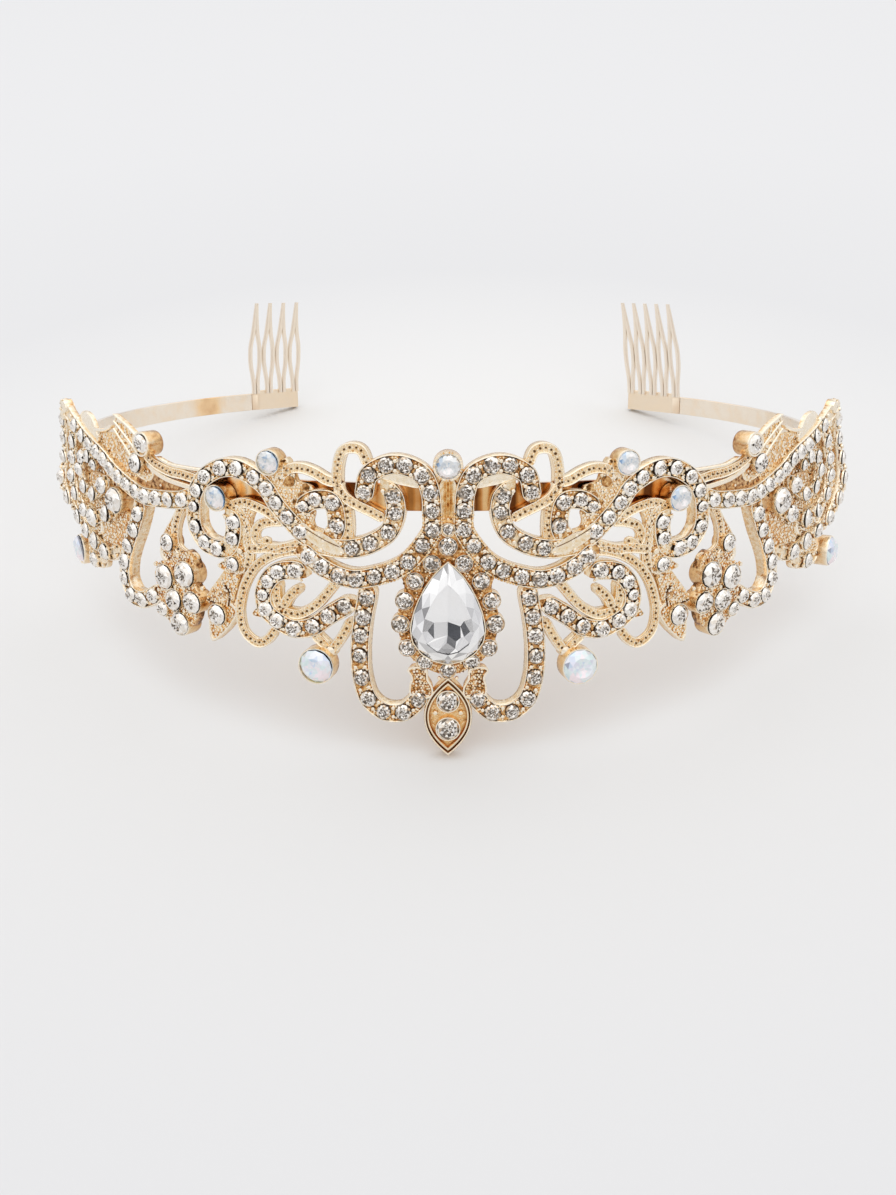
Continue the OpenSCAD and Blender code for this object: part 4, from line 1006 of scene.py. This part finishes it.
# Between the arches: the web above the pear, the fluted column, and the plate under the top stone
centreWeb = [[0, -4.6], [-1.2, -7.0], [-1.5, -9.5], [-3.6, -11.8], [-2.6, -12.6], [0, -11.4], [2.6, -12.6],
             [3.6, -11.8], [1.5, -9.5], [1.2, -7.0]]
columnShape = mirrored([[1.5, 72.15, 0.2], [1.5, 73.6, 0.3], [1.2, 73.95, 0.65], [0.9, 73.85, 0.55],
                        [0.45, 73.5, 0.35], [0.2, 73.7, 0.6]], [[0, 73.5, 0.3]])
casting.append(stacked(smoothLine(centreWeb, 0.45, closed=True), np.array([0, -9.6]),
                       [[1.0, panel["back"], 0.2], [1.0, 73.3, 0.3], [0.9, 73.5, 0.45], [0.3, 73.4, 0.3]]))
casting.append(sweep(smoothLine([[0, 1.4], [0, -4.9]], 0.5), columnShape))
casting.append(plate([[-2.5, 2.2], [-1.2, -1.0], [1.2, -1.0], [2.5, 2.2]],
                     [[1.0, 72.3, 0.3], [1.0, 73.4, 0.45], [0.8, 73.5, 0.5]]))
crescent = [[3.6, -0.2], [4.5, 1.3], [5.6, 1.8], [7.4, 1.8], [9.0, 1.6], [10.2, 0.9], [8.6, 0.6], [7.2, 0.2],
            [5.6, -0.1], [4.6, -0.3]]  # inside each arch
casting += plateTwice(crescent, [[1.0, 72.8, 0.3], [1.0, 73.7, 0.7], [0.9, 73.85, 0.95], [0.5, 73.8, 0.85]])


# The cup of a stone, by the kind of its setting
def cupFor(row, kind, foot=panel["back"]):
    look = settings[kind]
    return cup(row, cupRows(row[2], foot, look["lip"], look["bed"], look["wall"]), look["sides"])


cups = collets + [cupFor(topCup, "top")]
for kind, rows in (("rainbow", rainbowCups.values()), ("bezel", [bezelCup]), ("flower", flower),
                   ("leaf", leafCups), ("wingBig", [wingBig])):
    cups += [cupFor(place, kind) for row in rows for place in np.concatenate(bothSides([row]))]
cups += [cupFor(row, "halo") for row in haloStones + haloWider]
cups += [cupFor(row, "centre") for row in centreStones]
beadRing = circle(30, topCup[2] / 2 + 0.24) + topCup[:2]
grains.append(domes(beadRing, 74.92, 0.19, rng.uniform(0.2, 0.9, len(beadRing)), 6))
dropKnob = [17.9, -25.1]  # at the ends of the drop stone's arms
buttonRows = [[1.0, panel["back"], 0.3], [1.0, 73.4, 0.6], [0.75, 73.9, 0.9], [0.2, 74.1, 1.0]]
cups += [cup(rows[0], buttonRows) for rows in bothSides([dropKnob])]

# Lone beads: across, up, distance from the axis, radius
lumps = [[1.9, -33.9, 74.1, 0.4], [1.3, -28.5, 74.1, 0.3], [64.8, 2.9, 73.9, 0.4], [72.4, 5.3, 73.9, 0.6],
         [74.6, 6.0, 73.9, 0.6], [77.2, 7.0, 73.9, 1.3], [79.4, 5.4, 73.9, 1.1], [79.2, 7.4, 73.9, 0.9],
         [76.4, 4.4, 73.9, 0.8], [44.0, -12.9, 74.6, 0.4], [49.6, -15.0, 74.4, 0.4],
         [39.8, -17.6, 74.1, 0.45], [48.9, -19.0, 74.6, 0.4], [43.0, -17.8, 74.65, 0.5],
         [44.9, -17.9, 74.65, 0.45], [43.4, -21.6, 74.6, 0.4], [32.3, -10.9, 73.9, 0.6]]
for rows in bothSides(lumps):
    grains.append(domes(rows, rows[:, 2], rows[:, 3], 0.8, 9))

# The pear's bezel, carried round its outline: how far inside the outline, out and relief
bezel = [[0.3, 72.15, 0.1], [0.15, 74.6, 0.4], [0.06, 74.74, 0.8], [-0.1, 74.72, 0.8], [-0.22, 74.5, 0.35],
         [-0.34, 73.9, 0.15], [-0.32, 72.15, 0.1]]
pearLine = pearOutline(pear["length"] + 0.2, pear["width"] + 0.2, 72) + pear["place"]
cups.append(sweep(pearLine, np.array(bezel).T, closed=True))
# The marquise: two rims with a groove between them that is painted dark as shade, round a sunk ground
marquiseRows = [[1.0, panel["back"], 0.2], [1.0, 74.1, 0.45], [0.965, 74.42, 0.85], [0.92, 74.4, 0.8],
                [0.895, 74.1, -0.1], [0.865, 74.1, -0.1], [0.845, 74.4, 0.7], [0.79, 74.36, 0.6],
                [0.76, 73.85, 0.12], [0.6, 73.8, 0.28], [0.3, 73.8, 0.3]]
marquiseLine = ovalOutline(marquise["length"], marquise["width"], 72) + marquise["place"]
cups.append(stacked(marquiseLine, np.array(marquise["place"]), marquiseRows))
cups += [cupFor(row, "marquise", 73.0) for row in marquiseStones.values()]
makePiece("panelRibbons", casting, [panelGold], ["filigree"])
makePiece("panelStrips", beads, [stripGold])
makePiece("panelCups", cups, [stripGold])
makePiece("panelGrains", grains, [stripGold])
print("casting made")


# The band's strip. cut is the bevel of its edges; outer and open are the relief of its outer face, painted
# shade behind the panel and painted light where it stands free, and inner that of its inner face; glow is the
# painted reflection behind the waves on each side (strength, angle in radians, width), and dark the painted
# dark reflection inside on the left
bandSurface = {"cut": 0.12, "outer": 0.15, "open": 0.63, "inner": 0.72, "glow": (0.18, 0.45, 0.2),
               "dark": (0.27, -2.165, 0.055)}


# The strip in plan: the front arc about the head's axis, the sides about their own centres
def bandPlan():
    front = np.radians(band["frontAngle"])
    middle, sideMiddle = (band[name] - band["thickness"] / 2 for name in ("frontRadius", "sideRadius"))
    a = np.linspace(-front, front, int(4 * front * middle))
    line = np.stack([middle * np.sin(a), -middle * np.cos(a)], 1)
    wings = []
    for side, end in ((-1, band["leftEnd"]), (1, band["rightEnd"])):
        b = np.linspace(front, np.radians(end), 110)[1:]
        wings.append(bandCentre(side) + sideMiddle * np.stack([side * np.sin(b), -np.cos(b)], 1))
    return np.vstack([wings[0][::-1], line, wings[1]])


plan = bandPlan()
outward = -leftOf(plan)
h, t, cut = band["height"], band["thickness"] / 2, bandSurface["cut"]
across, out = mirrored([[t - cut, -h], [t, -h + cut], [t, -cut], [t - cut, 0]])
around = np.arctan2(plan[:, 0], -plan[:, 1])
behind = np.clip((np.abs(around) - 1.02) / 0.1, 0, 1)  # 0 behind the panel, where the band is painted in shade, 1 where it stands free
# painted stripes of shade and reflection on the band behind the panel
shadeStripes = (0.2 * (np.sin(41 * around) + np.sin(83 * around + 1)) + 0.2 * np.sin(190 * around)) * (1 - behind)
strength, angle, width = bandSurface["glow"]
glow = strength * np.exp(-((np.abs(around) - angle) / width)**2)
outer = bandSurface["outer"] + bandSurface["open"] * behind + shadeStripes + glow
strength, angle, width = bandSurface["dark"]
inner = bandSurface["inner"] - strength * np.exp(-((around - angle) / width)**4)
strip = carried(raised(plan, 0), raised(outward, 0), raised(0 * plan, 1), across, out,
                np.where(across > 0, outer[:, None], inner[:, None]))
makePiece("bandStrip", [strip], [bandGold], ["headband"])

# What both combs share, with the shares of the height at which a tooth's half width is given; then each
# comb's teeth, their pitch, the half width of the eye, and how far the tips lean aside
comb = {"height": 21.0, "metal": 0.8, "rail": 0.98, "bow": 75.0, "gap": 0.05, "tip": 0.55, "margin": 1.6,
        "shares": [0, 0.14, 0.34, 0.52, 0.68, 0.85, 1.0]}
combs = {"combLeft": {"node": "comb_left", "side": -1, "end": band["leftEnd"], "teeth": 4, "pitch": 3.5,
                      "eye": 1.2, "lean": 0.3},
         "combRight": {"node": "comb_right", "side": 1, "end": band["rightEnd"], "teeth": 5, "pitch": 3.15,
                       "eye": 1.06, "lean": 1.6}}


# A comb's tooth is two rails that part at the foot, open into an eye and close at the tip; the whole
# comb bows towards the head on a circle
def combPiece(name, node, side, end, teeth, pitch, eye, lean):
    width = (teeth - 1) * pitch + comb["margin"]
    inner = band["sideRadius"] - band["thickness"] - comb["gap"]
    at = np.radians(end) - width / 2 / inner
    c = bandCentre(side)
    out = np.array([side * np.sin(at), -np.cos(at), 0])
    east = np.array([np.cos(at), side * np.sin(at), 0])
    foot = np.array([c[0], c[1], 0]) + inner * out
    s = np.linspace(0, 1, 40)
    z = comb["height"] * s
    half = np.interp(s, comb["shares"], [0.5, 0.5, eye, eye, 0.48, 0.26, 0.16])
    half = np.convolve(np.pad(half, 2, mode="edge"), np.ones(5) / 5, "valid")
    bow = comb["bow"] + 0.5 - np.sqrt(comb["bow"]**2 - (z - 0.7)**2)
    w, d = comb["rail"] / 2, comb["metal"] / 2
    # a rail's section is a rounded square, and side sets the way round that it is carried
    section = np.sign(circle(10)) * np.abs(circle(10))**0.6
    slim = np.interp(s, [0, 0.72, 1], [1, 1, comb["tip"]])[:, None]
    ones = np.ones((len(z), 1))
    parts = []
    for k in range(teeth):
        for hand in (-1, 1):
            x = (k - (teeth - 1) / 2) * pitch + hand * half + lean * s
            centre = foot + east * x[:, None] + np.stack([0 * z, 0 * z, z], 1) - out * (bow + d)[:, None]
            parts.append(carried(centre, ones * east * side, ones * out, section[::-side, 0] * w * slim,
                                 section[::-side, 1] * d * slim, 1.0))
    # the strip that carries them lies inside the band and grows thin towards it, on its inner side
    b = np.linspace(-width / 2 / inner, width / 2 / inner, 24) + at
    away = np.stack([side * np.sin(b), -np.cos(b)], 1)
    loop = np.array([[-0.4, -3.8], [0.4, -3.8], [0.4, 0.6], [0.3, 0.7], [-0.3, 0.7], [-0.4, 0.6]])[::side]
    thin = np.clip((b - b[0]) * inner / 1.6 + 0.1, 0, 1)[:, None]
    line = c + (inner - comb["metal"] / 2) * away
    parts.append(carried(raised(line, 0), raised(away, 0), raised(0 * away, 1),
                         0.4 - (0.4 - loop[:, 0]) * thin, loop[:, 1], 0.55))
    makePiece(name, parts, [combGold], [node])


for name, look in combs.items():
    combPiece(name, **look)
print("band and combs made")

# Stage: a pale seamless floor, a bright tent with darker zones, one large soft light
# middle and near are painted light and shade on the paper round the tiara, floor its even colour further out
stage = {"floor": (0.715, 0.715, 0.722), "near": (0.695, 0.695, 0.702), "middle": (0.775, 0.770, 0.760),
         "sky": 1.13, "key": 3.8, "lamp": (-0.15, 0.45, 2.1),
         "lampTurn": ((0.98, 0, -0.19), (-0.04, 0.98, 0.21), (0.18, -0.21, 0.96))}
floorMesh = bpy.data.meshes.new("floor")
floorMesh.from_pydata([(-6, -6, 0), (6, -6, 0), (6, 6, 0), (-6, 6, 0)], [], [(0, 1, 2, 3)])  # metres
floor = bpy.data.objects.new("floor", floorMesh)
bpy.context.scene.collection.objects.link(floor)
paper, nodes, links, shader = newMaterial("paper", Roughness=1.0)
shader.inputs["Specular IOR Level"].default_value = 0
# Painted light on the paper: it is lightest and warmest round the middle, a painted pool of light, and
# greyest at 16 cm from it, painted shade
paperPlace = nodes.new("ShaderNodeTexCoord")
distance = nodes.new("ShaderNodeVectorMath")
distance.operation = "LENGTH"
links.new(paperPlace.outputs["Object"], distance.inputs[0])
glow = ramp(nodes, [(0.05, stage["middle"]), (0.16, stage["near"]), (0.35, stage["floor"])])
links.new(distance.outputs["Value"], glow.inputs[0])
links.new(glow.outputs["Color"], shader.inputs["Base Color"])
floorMesh.materials.append(paper)

# The tent's brightness goes by the height: a dark zone just above the horizon, and bright above that
world = bpy.data.worlds.new("tent")
bpy.context.scene.world = world
world.use_nodes = True
tent, tentLinks = world.node_tree.nodes, world.node_tree.links
where = tent.new("ShaderNodeTexCoord")
split = tent.new("ShaderNodeSeparateXYZ")
tentLinks.new(where.outputs["Generated"], split.inputs[0])
height = ramp(tent, [(0.0, (0.9, 0.9, 0.92)), (0.12, (0.55, 0.55, 0.57)), (0.4, (0.95, 0.95, 0.96)),
                     (1.0, (1.1, 1.1, 1.1))])
tentLinks.new(split.outputs["Z"], height.inputs[0])
tentLinks.new(height.outputs["Color"], tent["Background"].inputs["Color"])
tent["Background"].inputs["Strength"].default_value = stage["sky"]

light = bpy.data.lights.new("key", "AREA")
light.shape, light.size, light.energy = "DISK", 1.8, stage["key"]
lamp = bpy.data.objects.new("key", light)
lamp.matrix_world = Matrix.Translation(stage["lamp"]) @ Matrix(stage["lampTurn"]).to_4x4()
bpy.context.scene.collection.objects.link(lamp)

# The camera stands in front of the peak, 15.8 degrees down in the band's own frame
view = {"from": np.array([0, -240.0, 30.8]), "down": np.radians(15.8), "lens": 36, "sensor": 36}
camera = bpy.data.cameras.new("camera")
camera.lens, camera.sensor_width, camera.clip_start = view["lens"], view["sensor"], 0.01
shot = bpy.data.objects.new("camera", camera)
axes = restTurn @ np.array([[1, 0, 0], [0, np.sin(view["down"]), -np.cos(view["down"])],
                            [0, np.cos(view["down"]), np.sin(view["down"])]])
shot.matrix_world = Matrix.Translation(restPoints(view["from"])) @ Matrix(axes.tolist()).to_4x4()
bpy.context.scene.collection.objects.link(shot)
bpy.context.scene.camera = shot
bpy.context.scene.view_settings.view_transform = "Standard"
print("stage and camera set")
